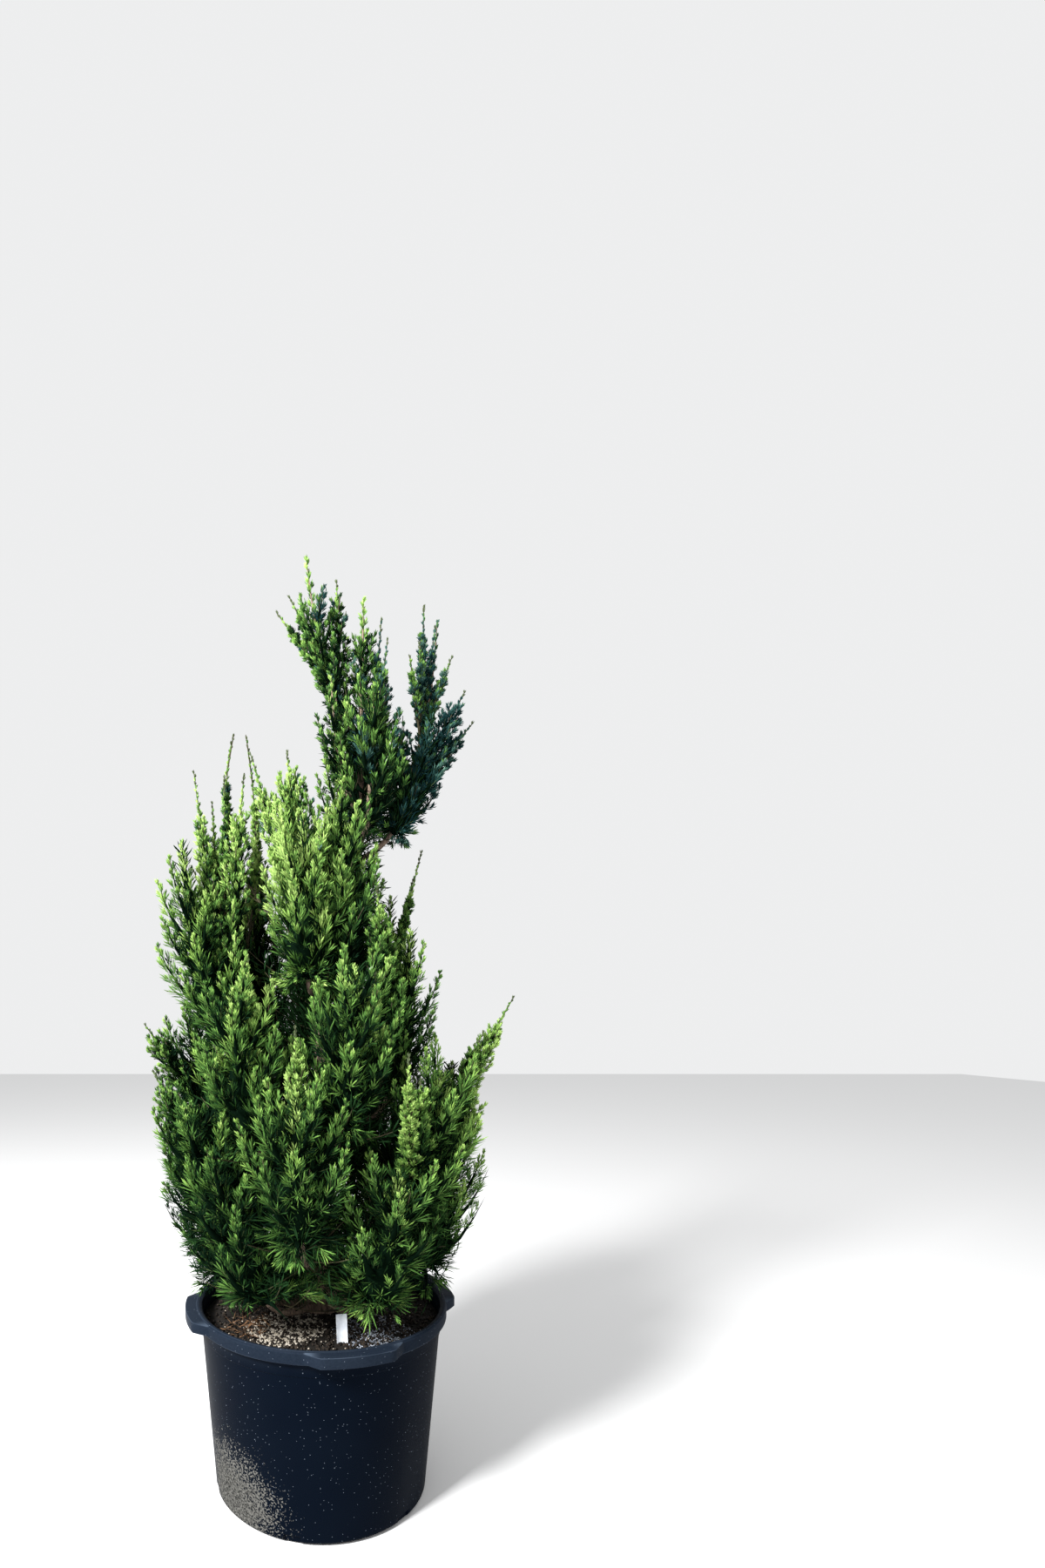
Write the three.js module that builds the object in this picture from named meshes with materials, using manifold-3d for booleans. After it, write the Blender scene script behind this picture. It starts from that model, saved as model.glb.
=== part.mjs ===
// A spiral juniper in its black nursery container, in millimetres, +Z up.
// The origin is the centre of the container's flat underside. The plant's right-hand side is +X,
// and -Y is its front. The foliage climbs the trunk as one band that turns round it, in flame
// shaped masses, and ends in a bushy head. Azimuth 0 is +X and 90 is +Y, in degrees.
import * as THREE from 'three';
import { mergeVertices } from 'three/addons/utils/BufferGeometryUtils.js';
import Module from 'manifold-3d';

const wasm = await Module();
wasm.setup();

// The container: a tapered pot with a deep rolled lip, four grip lugs and drain notches.
const POT = {
  height: 445,
  baseRadius: 250,
  mouthRadius: 283,
  wall: 4,
  floor: 5,
  footRound: 9,
  lipDepth: 29,
  lipReach: 11,
  lipRound: 3,
  lipSlope: 5,
  ledgeDrop: 62,
  ledgeReach: 2,
  sides: 40,
};
const LUG = {
  count: 4,
  azimuth: 14,
  reach: 322,
  halfAngle: 21,
  cornerAngle: 7,
  drop: 2,
  depth: 25,
  arcSteps: 4,
};
const DRAIN = { count: 6, azimuth: 256, width: 36, height: 20, depth: 30 };
const SOIL = { crown: 414, shoulder: 404, crownRadius: 70 };
const TAG = {
  azimuth: -75,
  reach: 178,
  width: 24,
  height: 112,
  thick: 1.2,
  stands: 64,
  point: 18,
  lean: 9,
  turn: 12,
};

// The trunk: a flat cut on the soil, a root flare, a lean to the right above the middle.
const TRUNK = {
  top: 1800,
  radius: 25,
  tipRadius: 5,
  taper: 0.8,
  flare: 20,
  flareHeight: 60,
  lean: 88,
  leanFrom: 1180,
  leanTo: 1600,
  sway: 9,
  swayLength: 170,
  sunk: 8,
  sides: 8,
  rings: 16,
};

// The band of foliage. A station gives its size at that turn, counted down from the head's
// right-hand side: where a mass leaves its bough, how far it rises, how far its foot and its tip
// stand from the trunk, and the half width of its main spire.
const BAND = { perTurn: 6.6, masses: 24, boughsFrom: 4 };
// How far a mass strays from its even place: in azimuth, in its tip's azimuth, reach and rise.
const STRAY = { azimuth: 7, tipAzimuth: 6, reach: 0.05, rise: 0.08 };
const STATIONS = [
  { turn: 0, foot: 1180, rise: 290, footReach: 62, tipReach: 85, half: 92 },
  { turn: 0.3, foot: 1190, rise: 320, footReach: 85, tipReach: 105, half: 104 },
  { turn: 0.45, foot: 1030, rise: 470, footReach: 198, tipReach: 296, half: 124 },
  { turn: 0.7, foot: 1000, rise: 440, footReach: 160, tipReach: 225, half: 112 },
  { turn: 1.0, foot: 950, rise: 360, footReach: 150, tipReach: 200, half: 108 },
  { turn: 1.5, foot: 790, rise: 300, footReach: 225, tipReach: 318, half: 116 },
  { turn: 2.25, foot: 660, rise: 300, footReach: 230, tipReach: 318, half: 118 },
  { turn: 3.0, foot: 520, rise: 290, footReach: 220, tipReach: 315, half: 120 },
  { turn: 3.5, foot: 484, rise: 280, footReach: 190, tipReach: 295, half: 116 },
];

// The masses of the head, each on the trunk at its root height. Out is the reach of foot and tip.
const HEAD = [
  { name: 'head_low', azimuth: 262, root: 1370, foot: 1400, rise: 200, out: [52, 80], half: 78 },
  { name: 'head_left', azimuth: 218, root: 1560, foot: 1600, rise: 215, out: [42, 84], half: 66 },
  { name: 'head_front', azimuth: 292, root: 1480, foot: 1520, rise: 270, out: [52, 85], half: 86 },
  { name: 'head_right', azimuth: 350, root: 1440, foot: 1510, rise: 250, out: [80, 165], half: 94 },
  { name: 'head_back', azimuth: 75, root: 1490, foot: 1540, rise: 300, out: [60, 110], half: 94 },
  { name: 'wing_right', azimuth: 8, root: 1590, foot: 1680, rise: 285, out: [128, 170], half: 50 },
  { name: 'crest_left', azimuth: 189, root: 1700, foot: 1750, rise: 318, out: [30, 120], half: 50 },
  { name: 'crest_leader', azimuth: 0, root: 1800, foot: 1806, rise: 190, out: [0, 4], half: 44 },
];

// Long shoots that stand out of the masses, by the mass that bears them. Azimuth and reach are
// taken from the container's axis.
const SHOOTS = [
  { on: 'head_front', azimuth: -19, reach: 150, height: 1905, half: 44 },
  { on: 'head_right', azimuth: 0, reach: 318, height: 1818, half: 58 },
  { on: 'wing_right', azimuth: -15, reach: 195, height: 1868, half: 34 },
  { on: 'wing_right', azimuth: 0, reach: 232, height: 1995, half: 38 },
  { on: 'wing_right', azimuth: 2, reach: 289, height: 1894, half: 40 },
  { on: 'crest_left', azimuth: 184, reach: 70, height: 2012, half: 26 },
  { on: 'spiral_04', azimuth: 180, reach: 283, height: 1650, half: 64 },
  { on: 'spiral_04', azimuth: 178, reach: 345, height: 1462, half: 64 },
  { on: 'spiral_04', azimuth: 176, reach: 203, height: 1738, half: 72 },
  { on: 'spiral_03', azimuth: 178, reach: 161, height: 1708, half: 76 },
  { on: 'spiral_03', azimuth: 184, reach: 76, height: 1692, half: 82 },
  { on: 'spiral_02', azimuth: 235, reach: 66, height: 1570, half: 76 },
  { on: 'spiral_07', azimuth: 4, reach: 229, height: 1470, half: 54 },
  { on: 'spiral_08', azimuth: -53, reach: 190, height: 1372, half: 60 },
  { on: 'spiral_10', azimuth: 234, reach: 250, height: 1222, half: 60 },
  { on: 'spiral_11', azimuth: 181, reach: 404, height: 1088, half: 64 },
  { on: 'spiral_13', azimuth: 98, reach: 330, height: 1150, half: 56 },
  { on: 'spiral_14', azimuth: 0, reach: 442, height: 1152, half: 72 },
  { on: 'spiral_15', azimuth: -58, reach: 328, height: 1030, half: 60 },
];

// Every spire swells over the first part of its length and tapers from there to its tip. Its knee
// is placed as shares of its way out and of its rise.
const GIRTH = { start: 0.06, full: 0.28, swell: 0.7 };
const KNEE = [0.72, 0.34];

// How a mass branches: a core along its main spire, long shoots beside it, and the sprays that
// stand out of them all. A spire's sprays take their length from its half width.
const BODY = { share: 0.6, tip: 2, sharp: 0.78 };
const CORE = { sides: 5, rings: 4, to: 0.96 };
const SHOOT = { sides: 5, rings: 3, to: 0.94, from: 0.14, sharp: 1, tip: 60, knee: [0.45, 0.5] };
const SPRAY = {
  spacing: 22,
  shootCount: 3,
  first: 0.05,
  last: 0.88,
  root: 0.7,
  roll: 50,
  openLow: 40,
  openHigh: 16,
  share: 1.2,
  shortest: 0.8,
};
const BLADE = {
  longTooth: [-0.14, 1],
  shortTooth: [0.44, 0.74],
  notch: [0.14, 0.64],
  ridge: [0.08, 0.42],
  thick: 0.12,
};
const BOUGH = { radius: 10, tipRadius: 7, slope: 0.62, lowest: 432, knee: 0.4, sides: 4, rings: 3 };
const STEM = { sides: 4, rings: 1, overlap: 3 };
// Clear space between touching pieces, and between two masses. Sprays farther apart than REACH
// never meet.
const CLEAR = 0.3;
const MASS_CLEAR = 0.6;
const REACH = 120;
const GOLDEN = 137.508;
// Each use of the scatter has its own stream, and each mass its own run of seeds.
const STREAM = { azimuth: 1, tipAzimuth: 2, reach: 3, rise: 4, start: 60, roll: 61, tipRoll: 62 };
const SEEDS = 7;
const MERGE = 1e-3;
const UP = new THREE.Vector3(0, 0, 1);
const RIGHT = new THREE.Vector3(1, 0, 0);

const radians = THREE.MathUtils.degToRad;
const mix = THREE.MathUtils.lerp;

// The colours and finishes of the real surfaces.
const FINISH = {
  pot: { color: 0x171a20, roughness: 0.45, metalness: 0 },
  soil: { color: 0x2a211b, roughness: 0.95, metalness: 0 },
  tag: { color: 0xd9dde2, roughness: 0.5, metalness: 0 },
  bark: { color: 0x6a5445, roughness: 0.9, metalness: 0 },
  foliage: { color: 0x3f6b26, roughness: 0.7, metalness: 0 },
};

// Scatter between 0 and 1 that is the same on every run.
function scatter(index, stream) {
  const s = Math.sin(index * 12.9898 + stream * 78.233) * 43758.5453;
  return s - Math.floor(s);
}

// Scatter between -1 and 1.
const swing = (index, stream) => 2 * scatter(index, stream) - 1;

function polar(azimuth, reach, height) {
  const a = radians(azimuth);
  return new THREE.Vector3(reach * Math.cos(a), reach * Math.sin(a), height);
}

function trunkCentre(height) {
  const share = THREE.MathUtils.smoothstep(height, TRUNK.leanFrom, TRUNK.leanTo);
  const sway = TRUNK.sway * Math.sin(height / TRUNK.swayLength);
  return new THREE.Vector3(TRUNK.lean * share, sway, height);
}

// A point at that azimuth and reach from the trunk's own centre.
function besideTrunk(azimuth, reach, height) {
  const centre = trunkCentre(Math.min(height, TRUNK.top));
  return polar(azimuth, reach, height).add(new THREE.Vector3(centre.x, centre.y, 0));
}

// A closed geometry as a solid for cutting and joining.
function solidOf(geometry) {
  const bare = geometry.index ? geometry.toNonIndexed() : geometry.clone();
  bare.deleteAttribute('normal');
  bare.deleteAttribute('uv');
  const merged = mergeVertices(bare, MERGE);
  return new wasm.Manifold(new wasm.Mesh({
    numProp: 3,
    vertProperties: merged.attributes.position.array,
    triVerts: new Uint32Array(merged.index.array),
  }));
}

function geometryOf(solid) {
  const mesh = solid.getMesh();
  const place = new Float32Array(mesh.numVert * 3);
  for (let i = 0; i < mesh.numVert; i++) {
    place.set(mesh.vertProperties.subarray(i * mesh.numProp, i * mesh.numProp + 3), i * 3);
  }
  const geometry = new THREE.BufferGeometry();
  geometry.setAttribute('position', new THREE.BufferAttribute(place, 3));
  geometry.setIndex(new THREE.BufferAttribute(mesh.triVerts, 1));
  geometry.computeVertexNormals();
  return geometry;
}

// The largest single body of a solid, without the scraps that a cut leaves.
function largestBody(solid) {
  const bodies = solid.decompose();
  return bodies.reduce((best, body) => (body.volume() > best.volume() ? body : best));
}

// The two directions across a curve at t.
function across(curve, t) {
  const along = curve.getTangent(t);
  const side = RIGHT.clone().cross(along).normalize();
  return { along, side, other: side.clone().cross(along) };
}

// A cylinder laid along part of a curve, with its radius given at each place.
function limb(curve, radiusAt, sides, rings, from = 0, to = 1) {
  const geometry = new THREE.CylinderGeometry(1, 1, 1, sides, rings);
  const place = geometry.attributes.position;
  for (let i = 0; i < place.count; i++) {
    const t = mix(from, to, place.getY(i) + 0.5);
    const { side, other } = across(curve, t);
    const radius = radiusAt(t);
    const point = curve.getPoint(t);
    point.addScaledVector(side, place.getX(i) * radius);
    point.addScaledVector(other, place.getZ(i) * radius);
    place.setXYZ(i, point.x, point.y, point.z);
  }
  return geometry;
}

// Width of a spire's outline at t, from 0 to 1: a short swell from the foot, then a long taper.
function girth(t, sharp) {
  const swell = Math.min(1, (t + GIRTH.start) / (GIRTH.full + GIRTH.start)) ** GIRTH.swell;
  const taper = (1 - Math.max(0, t - GIRTH.full) / (1 - GIRTH.full)) ** sharp;
  return swell * taper;
}

// A spire's line leaves its foot outwards and then turns up at its knee.
function spire(foot, tip, half, sharp, [out, up] = KNEE) {
  const knee = foot.clone().lerp(tip, out);
  knee.z = mix(foot.z, tip.z, up);
  return { line: new THREE.QuadraticBezierCurve3(foot, knee, tip), half, sharp };
}

const radiusOf = (s, t) => s.half * girth(t, s.sharp);

// The band's size at a turn, between its stations.
function bandAt(turn) {
  const next = Math.min(STATIONS.length - 1, STATIONS.findIndex((s) => s.turn >= turn - 1e-9));
  const high = STATIONS[Math.max(1, next)];
  const low = STATIONS[Math.max(1, next) - 1];
  const share = (turn - low.turn) / (high.turn - low.turn);
  return Object.fromEntries(Object.keys(low).map((key) => [key, mix(low[key], high[key], share)]));
}

// A mass of the band, counted from the top.
function bandMass(k) {
  const turn = k / BAND.perTurn;
  const size = bandAt(turn);
  const azimuth = -360 * turn + STRAY.azimuth * swing(k, STREAM.azimuth);
  const tipAzimuth = azimuth + STRAY.tipAzimuth * swing(k, STREAM.tipAzimuth);
  const tipReach = size.tipReach * (1 + STRAY.reach * swing(k, STREAM.reach));
  const foot = besideTrunk(azimuth, size.footReach, size.foot);
  const tip = besideTrunk(tipAzimuth, tipReach, 0);
  tip.z = size.foot + size.rise * (1 + STRAY.rise * swing(k, STREAM.rise));
  return {
    name: `spiral_${String(k + 1).padStart(2, '0')}`,
    seed: k,
    root: Math.max(BOUGH.lowest, size.foot - BOUGH.slope * size.footReach),
    bough: k >= BAND.boughsFrom,
    main: spire(foot, tip, size.half, BODY.sharp),
  };
}

// A mass of the head. Its foot and tip keep to the trunk's centre at its foot.
function headMass(size, i) {
  const [foot, tip] = size.out.map((reach) => besideTrunk(size.azimuth, reach, size.foot));
  tip.z += size.rise;
  return {
    name: size.name,
    seed: BAND.masses + i,
    root: size.root,
    bough: false,
    main: spire(foot, tip, size.half, BODY.sharp),
  };
}

// Every mass: where it roots on the trunk, its foot, its main spire and its shoots.
function plan() {
  const band = Array.from({ length: BAND.masses }, (_, k) => bandMass(k));
  const masses = [...band, ...HEAD.map(headMass)];
  for (const mass of masses) mass.shoots = shootsOf(mass);
  return masses;
}

// The long shoots of a mass.
function shootsOf(mass) {
  return SHOOTS.filter((shoot) => shoot.on === mass.name).map((shoot) => {
    const start = mass.main.line.getPoint(SHOOT.from);
    const tip = polar(shoot.azimuth, shoot.reach, shoot.height);
    return spire(start, tip, shoot.half, SHOOT.sharp, SHOOT.knee);
  });
}

// A flat spray of two teeth with a ridge on both faces, of that length, from the origin along +Y.
function bladeGeometry(length) {
  const { longTooth, shortTooth, notch, ridge, thick } = BLADE;
  const rim = [[0, 0], shortTooth, notch, longTooth];
  const place = rim.flatMap(([x, y]) => [x, y, 0]);
  place.push(...ridge, thick / 2, ...ridge, -thick / 2);
  const index = [];
  for (let i = 0; i < rim.length; i++) {
    const next = (i + 1) % rim.length;
    index.push(rim.length, i, next, rim.length + 1, next, i);
  }
  const geometry = new THREE.BufferGeometry();
  geometry.setAttribute('position', new THREE.BufferAttribute(new Float32Array(place), 3));
  geometry.setIndex(index);
  return geometry.scale(length, length, length);
}

// A blade from a point along a heading, rolled about it from lying level.
function bladeSolid(from, aim, length, roll) {
  const width = new THREE.Vector3().crossVectors(aim, UP).normalize().applyAxisAngle(aim, roll);
  const face = new THREE.Vector3().crossVectors(width, aim);
  const matrix = new THREE.Matrix4().makeBasis(width, aim, face).setPosition(from);
  return solidOf(bladeGeometry(length).applyMatrix4(matrix));
}

// The sprays of one spire, placed by the golden angle, opened wide at its foot and rooted inside
// the body that they stand out of.
function spraysOf(s, seed, count) {
  const made = [];
  for (let j = 0; j < count; j++) {
    const t = mix(SPRAY.first, SPRAY.last, (j + 0.5) / count);
    const turn = radians(j * GOLDEN + 360 * scatter(seed, STREAM.start));
    const { along, side, other } = across(s.line, t);
    const radial = side.multiplyScalar(Math.cos(turn)).addScaledVector(other, Math.sin(turn));
    const sunk = SPRAY.root * bodyRadius(s, t);
    const from = s.line.getPoint(t).addScaledVector(radial, sunk);
    const open = radians(mix(SPRAY.openLow, SPRAY.openHigh, t));
    const aim = along.multiplyScalar(Math.cos(open)).addScaledVector(radial, Math.sin(open)).normalize();
    const outward = (SPRAY.share * radiusOf(s, t) - sunk) / Math.sin(open);
    const length = Math.max(SPRAY.shortest * s.half, outward);
    made.push(bladeSolid(from, aim, length, radians(SPRAY.roll * swing(seed + j, STREAM.roll))));
  }
  return made;
}

// The spray that carries a shoot on to its very tip, rolled anywhere from level to upright.
function tipSpray(s, seed) {
  const from = s.line.getPoint(1 - SHOOT.tip / s.line.getLength());
  const aim = s.line.getPoint(1).sub(from);
  const roll = (Math.PI / 2) * scatter(seed, STREAM.tipRoll);
  return bladeSolid(from, aim.clone().normalize(), aim.length(), roll);
}

function allSprays(mass) {
  const { main, shoots, seed } = mass;
  const first = seed * SEEDS;
  const made = spraysOf(main, first, Math.round(main.line.getLength() / SPRAY.spacing));
  shoots.forEach((s, i) => {
    made.push(...spraysOf(s, first + 1 + i, SPRAY.shootCount), tipSpray(s, seed + i));
  });
  return made;
}

// The trunk, wider at its foot, where it is cut level on the soil. Grown adds to it all round.
function trunkSolid(grown) {
  const foot = SOIL.crown + CLEAR;
  const points = [];
  for (let i = 0; i <= TRUNK.rings; i++) {
    points.push(trunkCentre(mix(foot - TRUNK.sunk, TRUNK.top, i / TRUNK.rings)));
  }
  points[TRUNK.rings].z += grown;
  const radiusAt = (t) => {
    const spread = TRUNK.flare * Math.exp((-t * (TRUNK.top - foot)) / TRUNK.flareHeight);
    return mix(TRUNK.radius, TRUNK.tipRadius, t ** TRUNK.taper) + spread + grown;
  };
  const solid = solidOf(limb(new THREE.CatmullRomCurve3(points), radiusAt, TRUNK.sides, TRUNK.rings));
  const below = new THREE.BoxGeometry(POT.baseRadius, POT.baseRadius, POT.height);
  return solid.subtract(solidOf(below.translate(0, 0, foot - POT.height / 2)));
}

// A bough's line, from inside the trunk to just under its mass.
function boughLine(mass, gap) {
  const start = trunkCentre(mass.root);
  const heading = mass.main.line.getTangent(0);
  const end = mass.main.line.getPoint(0).addScaledVector(heading, -gap);
  const span = start.distanceTo(end);
  const knee = end.clone().addScaledVector(heading, -BOUGH.knee * span);
  return new THREE.QuadraticBezierCurve3(start, knee, end);
}

function boughSolid(mass, grown) {
  const radiusAt = (t) => mix(BOUGH.radius, BOUGH.tipRadius, t) + grown;
  return solidOf(limb(boughLine(mass, grown ? 0 : CLEAR), radiusAt, BOUGH.sides, BOUGH.rings));
}

// Radius of the body inside a spire's sprays.
const bodyRadius = (s, t) => Math.max(BODY.tip, BODY.share * radiusOf(s, t));

// The stem of a mass, which swells into the body of its main spire.
function coreSolid(s, grown) {
  const radiusAt = (t) => (t === 0 ? BOUGH.tipRadius : bodyRadius(s, t)) + grown;
  return solidOf(limb(s.line, radiusAt, CORE.sides, CORE.rings, 0, CORE.to));
}

function shootSolid(s, grown) {
  return solidOf(limb(s.line, (t) => bodyRadius(s, t) + grown, SHOOT.sides, SHOOT.rings, 0, SHOOT.to));
}

// The wood and core of a mass. Where no bough carries it, its stem starts in the trunk.
function heartSolid(mass, grown) {
  const parts = [coreSolid(mass.main, grown)];
  if (!mass.bough) {
    const stem = limb(boughLine(mass, -STEM.overlap), () => BOUGH.tipRadius + grown, STEM.sides, STEM.rings);
    parts.push(solidOf(stem));
  }
  mass.shoots.forEach((s) => parts.push(shootSolid(s, grown)));
  return wasm.Manifold.union(parts);
}

const boxesMeet = (a, b, margin) =>
  [0, 1, 2].every((i) => a.min[i] - margin < b.max[i] && b.min[i] - margin < a.max[i]);

// The masses: hearts cut clear of the limbs and of each other, then every spray that keeps clear
// of the limbs, of the other hearts and of the other masses' sprays.
function buildMasses(masses, limbsGrown) {
  const grown = masses.map((mass) => heartSolid(mass, MASS_CLEAR));
  const all = masses.map((mass, n) => n);
  const hearts = masses.map((mass, i) => {
    const before = grown.slice(0, i);
    return largestBody(wasm.Manifold.difference([heartSolid(mass, 0), limbsGrown, ...before]));
  });
  const finished = [];
  masses.forEach((mass, i) => {
    const box = hearts[i].boundingBox();
    const near = all.filter((n) => n !== i && boxesMeet(box, hearts[n].boundingBox(), REACH));
    const built = near.filter((n) => n < i).map((n) => finished[n].solid);
    const wall = wasm.Manifold.union([limbsGrown, ...near.map((n) => grown[n]), ...built]);
    const kept = allSprays(mass).filter((spray) => spray.intersect(wall).isEmpty());
    finished.push({ name: mass.name, solid: largestBody(wasm.Manifold.union([hearts[i], ...kept])) });
  });
  return finished;
}

// A closed outline of radii and heights turned about the upright axis.
function turned(outline) {
  const points = outline.map(([radius, height]) => new THREE.Vector2(radius, height));
  return new THREE.LatheGeometry(points, POT.sides).rotateX(Math.PI / 2);
}

// Radius of the container's outer face at a height.
const wallRadius = (height) => mix(POT.baseRadius, POT.mouthRadius, height / POT.height);

// The container's wall, lip, floor and flat underside.
function potShell() {
  const lipFoot = POT.height - POT.lipDepth;
  const ledge = POT.height - POT.ledgeDrop;
  const lipRadius = POT.mouthRadius + POT.lipReach;
  const lipInside = POT.height - POT.lipSlope;
  return solidOf(turned([
    [0, 0],
    [POT.baseRadius - POT.footRound, 0],
    [wallRadius(POT.footRound), POT.footRound],
    [wallRadius(ledge), ledge],
    [wallRadius(ledge) + POT.ledgeReach, ledge + POT.ledgeReach],
    [wallRadius(lipFoot) + POT.ledgeReach, lipFoot],
    [lipRadius, lipFoot],
    [lipRadius, POT.height - POT.lipSlope],
    [lipRadius - POT.lipRound, POT.height],
    [POT.mouthRadius + POT.lipRound, POT.height],
    [wallRadius(lipInside) - POT.wall, lipInside],
    [wallRadius(POT.floor) - POT.wall, POT.floor],
    [0, POT.floor],
  ]));
}

// A grip lug: a bulge that widens the lip over a short arc, with slanted ends.
function lugSolid(azimuth) {
  const wide = radians(LUG.halfAngle);
  const narrow = wide - radians(LUG.cornerAngle);
  const root = POT.mouthRadius + POT.lipReach / 2;
  const shape = new THREE.Shape();
  shape.absarc(0, 0, root, -wide, wide, false);
  shape.absarc(0, 0, LUG.reach, narrow, -narrow, true);
  shape.closePath();
  const settings = { depth: LUG.depth, bevelEnabled: false, curveSegments: LUG.arcSteps };
  const slab = new THREE.ExtrudeGeometry(shape, settings);
  return solidOf(slab.translate(0, 0, POT.height - LUG.drop - LUG.depth).rotateZ(radians(azimuth)));
}

// A drain notch, through the wall and the floor's edge.
function notchSolid(azimuth) {
  const notch = new THREE.BoxGeometry(DRAIN.depth, DRAIN.width, DRAIN.height * 2);
  return solidOf(notch.translate(POT.baseRadius, 0, 0).rotateZ(radians(azimuth)));
}

function potSolid() {
  let pot = potShell();
  for (let i = 0; i < LUG.count; i++) pot = pot.add(lugSolid(LUG.azimuth + (360 / LUG.count) * i));
  for (let i = 0; i < DRAIN.count; i++) {
    pot = pot.subtract(notchSolid(DRAIN.azimuth + (360 / DRAIN.count) * i));
  }
  return pot;
}

// The tag: a plain strip with a pointed foot, pushed into the soil and leaning back a little.
function tagGeometry(grown) {
  const half = TAG.width / 2 + grown;
  const shape = new THREE.Shape();
  shape.moveTo(0, -TAG.height / 2 - grown);
  shape.lineTo(half, -TAG.height / 2 + TAG.point);
  shape.lineTo(half, TAG.height / 2 + grown);
  shape.lineTo(-half, TAG.height / 2 + grown);
  shape.lineTo(-half, -TAG.height / 2 + TAG.point);
  shape.closePath();
  const thick = TAG.thick + 2 * grown;
  const geometry = new THREE.ExtrudeGeometry(shape, { depth: thick, bevelEnabled: false });
  geometry.translate(0, 0, -thick / 2).rotateX(Math.PI / 2 - radians(TAG.lean));
  geometry.rotateZ(radians(TAG.turn));
  const place = polar(TAG.azimuth, TAG.reach, SOIL.shoulder + TAG.stands - TAG.height / 2);
  return geometry.translate(place.x, place.y, place.z);
}

// The potting mix: it fills the container, with a low crown round the trunk.
function soilSolid() {
  const edge = (height) => wallRadius(height) - POT.wall - 2 * CLEAR;
  const bottom = POT.floor + CLEAR;
  const fill = turned([
    [0, bottom],
    [edge(bottom), bottom],
    [edge(SOIL.shoulder), SOIL.shoulder],
    [SOIL.crownRadius, SOIL.crown],
    [0, SOIL.crown],
  ]);
  return solidOf(fill).subtract(solidOf(tagGeometry(CLEAR)));
}

function addMesh(group, name, geometry, finish) {
  const mesh = new THREE.Mesh(geometry, new THREE.MeshStandardMaterial(finish));
  mesh.name = name;
  group.add(mesh);
}

function spiralJuniper() {
  const whole = new THREE.Group();
  const plant = new THREE.Group();
  whole.add(plant);
  addMesh(whole, 'pot', geometryOf(potSolid()), FINISH.pot);
  addMesh(whole, 'potting_mix', geometryOf(soilSolid()), FINISH.soil);
  addMesh(whole, 'plant_tag', tagGeometry(0), FINISH.tag);
  addMesh(plant, 'trunk', geometryOf(trunkSolid(0)), FINISH.bark);

  const masses = plan();
  const trunkGrown = trunkSolid(CLEAR);
  const limbsGrown = [trunkGrown];
  for (const mass of masses.filter((m) => m.bough)) {
    const bough = largestBody(boughSolid(mass, 0).subtract(trunkGrown));
    addMesh(plant, mass.name.replace('spiral', 'bough'), geometryOf(bough), FINISH.bark);
    limbsGrown.push(boughSolid(mass, CLEAR));
  }
  for (const { name, solid } of buildMasses(masses, wasm.Manifold.union(limbsGrown))) {
    addMesh(plant, name, geometryOf(solid), FINISH.foliage);
  }
  return whole;
}

export default spiralJuniper();
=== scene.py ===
"""A spiral juniper in its black nursery container, dressed over its solids.

The foliage grows on from the limbs by the rule of the solids: a mass has a main spire and long
shoots, a spire bears plumes by the golden angle, a plume bears tufts and a tuft bears twiglets.
Lengths are millimetres and angles degrees until a mesh is made, and materials, lights and camera
are in metres. Azimuth 0 is +X and 90 is +Y.
"""

import bmesh
import bpy
import numpy as np
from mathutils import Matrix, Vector


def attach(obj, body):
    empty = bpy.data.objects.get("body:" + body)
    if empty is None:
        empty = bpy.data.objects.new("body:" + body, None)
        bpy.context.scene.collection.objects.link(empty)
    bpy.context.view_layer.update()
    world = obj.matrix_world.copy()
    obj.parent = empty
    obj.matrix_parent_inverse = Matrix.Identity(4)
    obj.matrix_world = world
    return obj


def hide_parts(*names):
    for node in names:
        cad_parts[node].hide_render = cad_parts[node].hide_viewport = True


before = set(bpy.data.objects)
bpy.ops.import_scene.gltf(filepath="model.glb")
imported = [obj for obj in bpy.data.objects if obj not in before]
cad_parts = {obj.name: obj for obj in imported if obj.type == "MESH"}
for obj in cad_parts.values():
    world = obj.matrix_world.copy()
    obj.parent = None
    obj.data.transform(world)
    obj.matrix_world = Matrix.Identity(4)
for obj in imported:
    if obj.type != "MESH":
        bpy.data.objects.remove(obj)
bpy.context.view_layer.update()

MM = 0.001
MOST_TRIANGLES = 190000
GOLDEN = 137.508
X, Y, Z = range(3)
UP = np.array([0.0, 0.0, 1.0])
# Doubled points closer than this are one.
SEAM = 0.01
# Headings closer to X than this take Y as the axis that they are crossed with.
STEEP = 0.95
LENGTH_STEPS = 33
# Keeps a step of no length from being divided by nothing.
TINY = 1e-9

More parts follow.
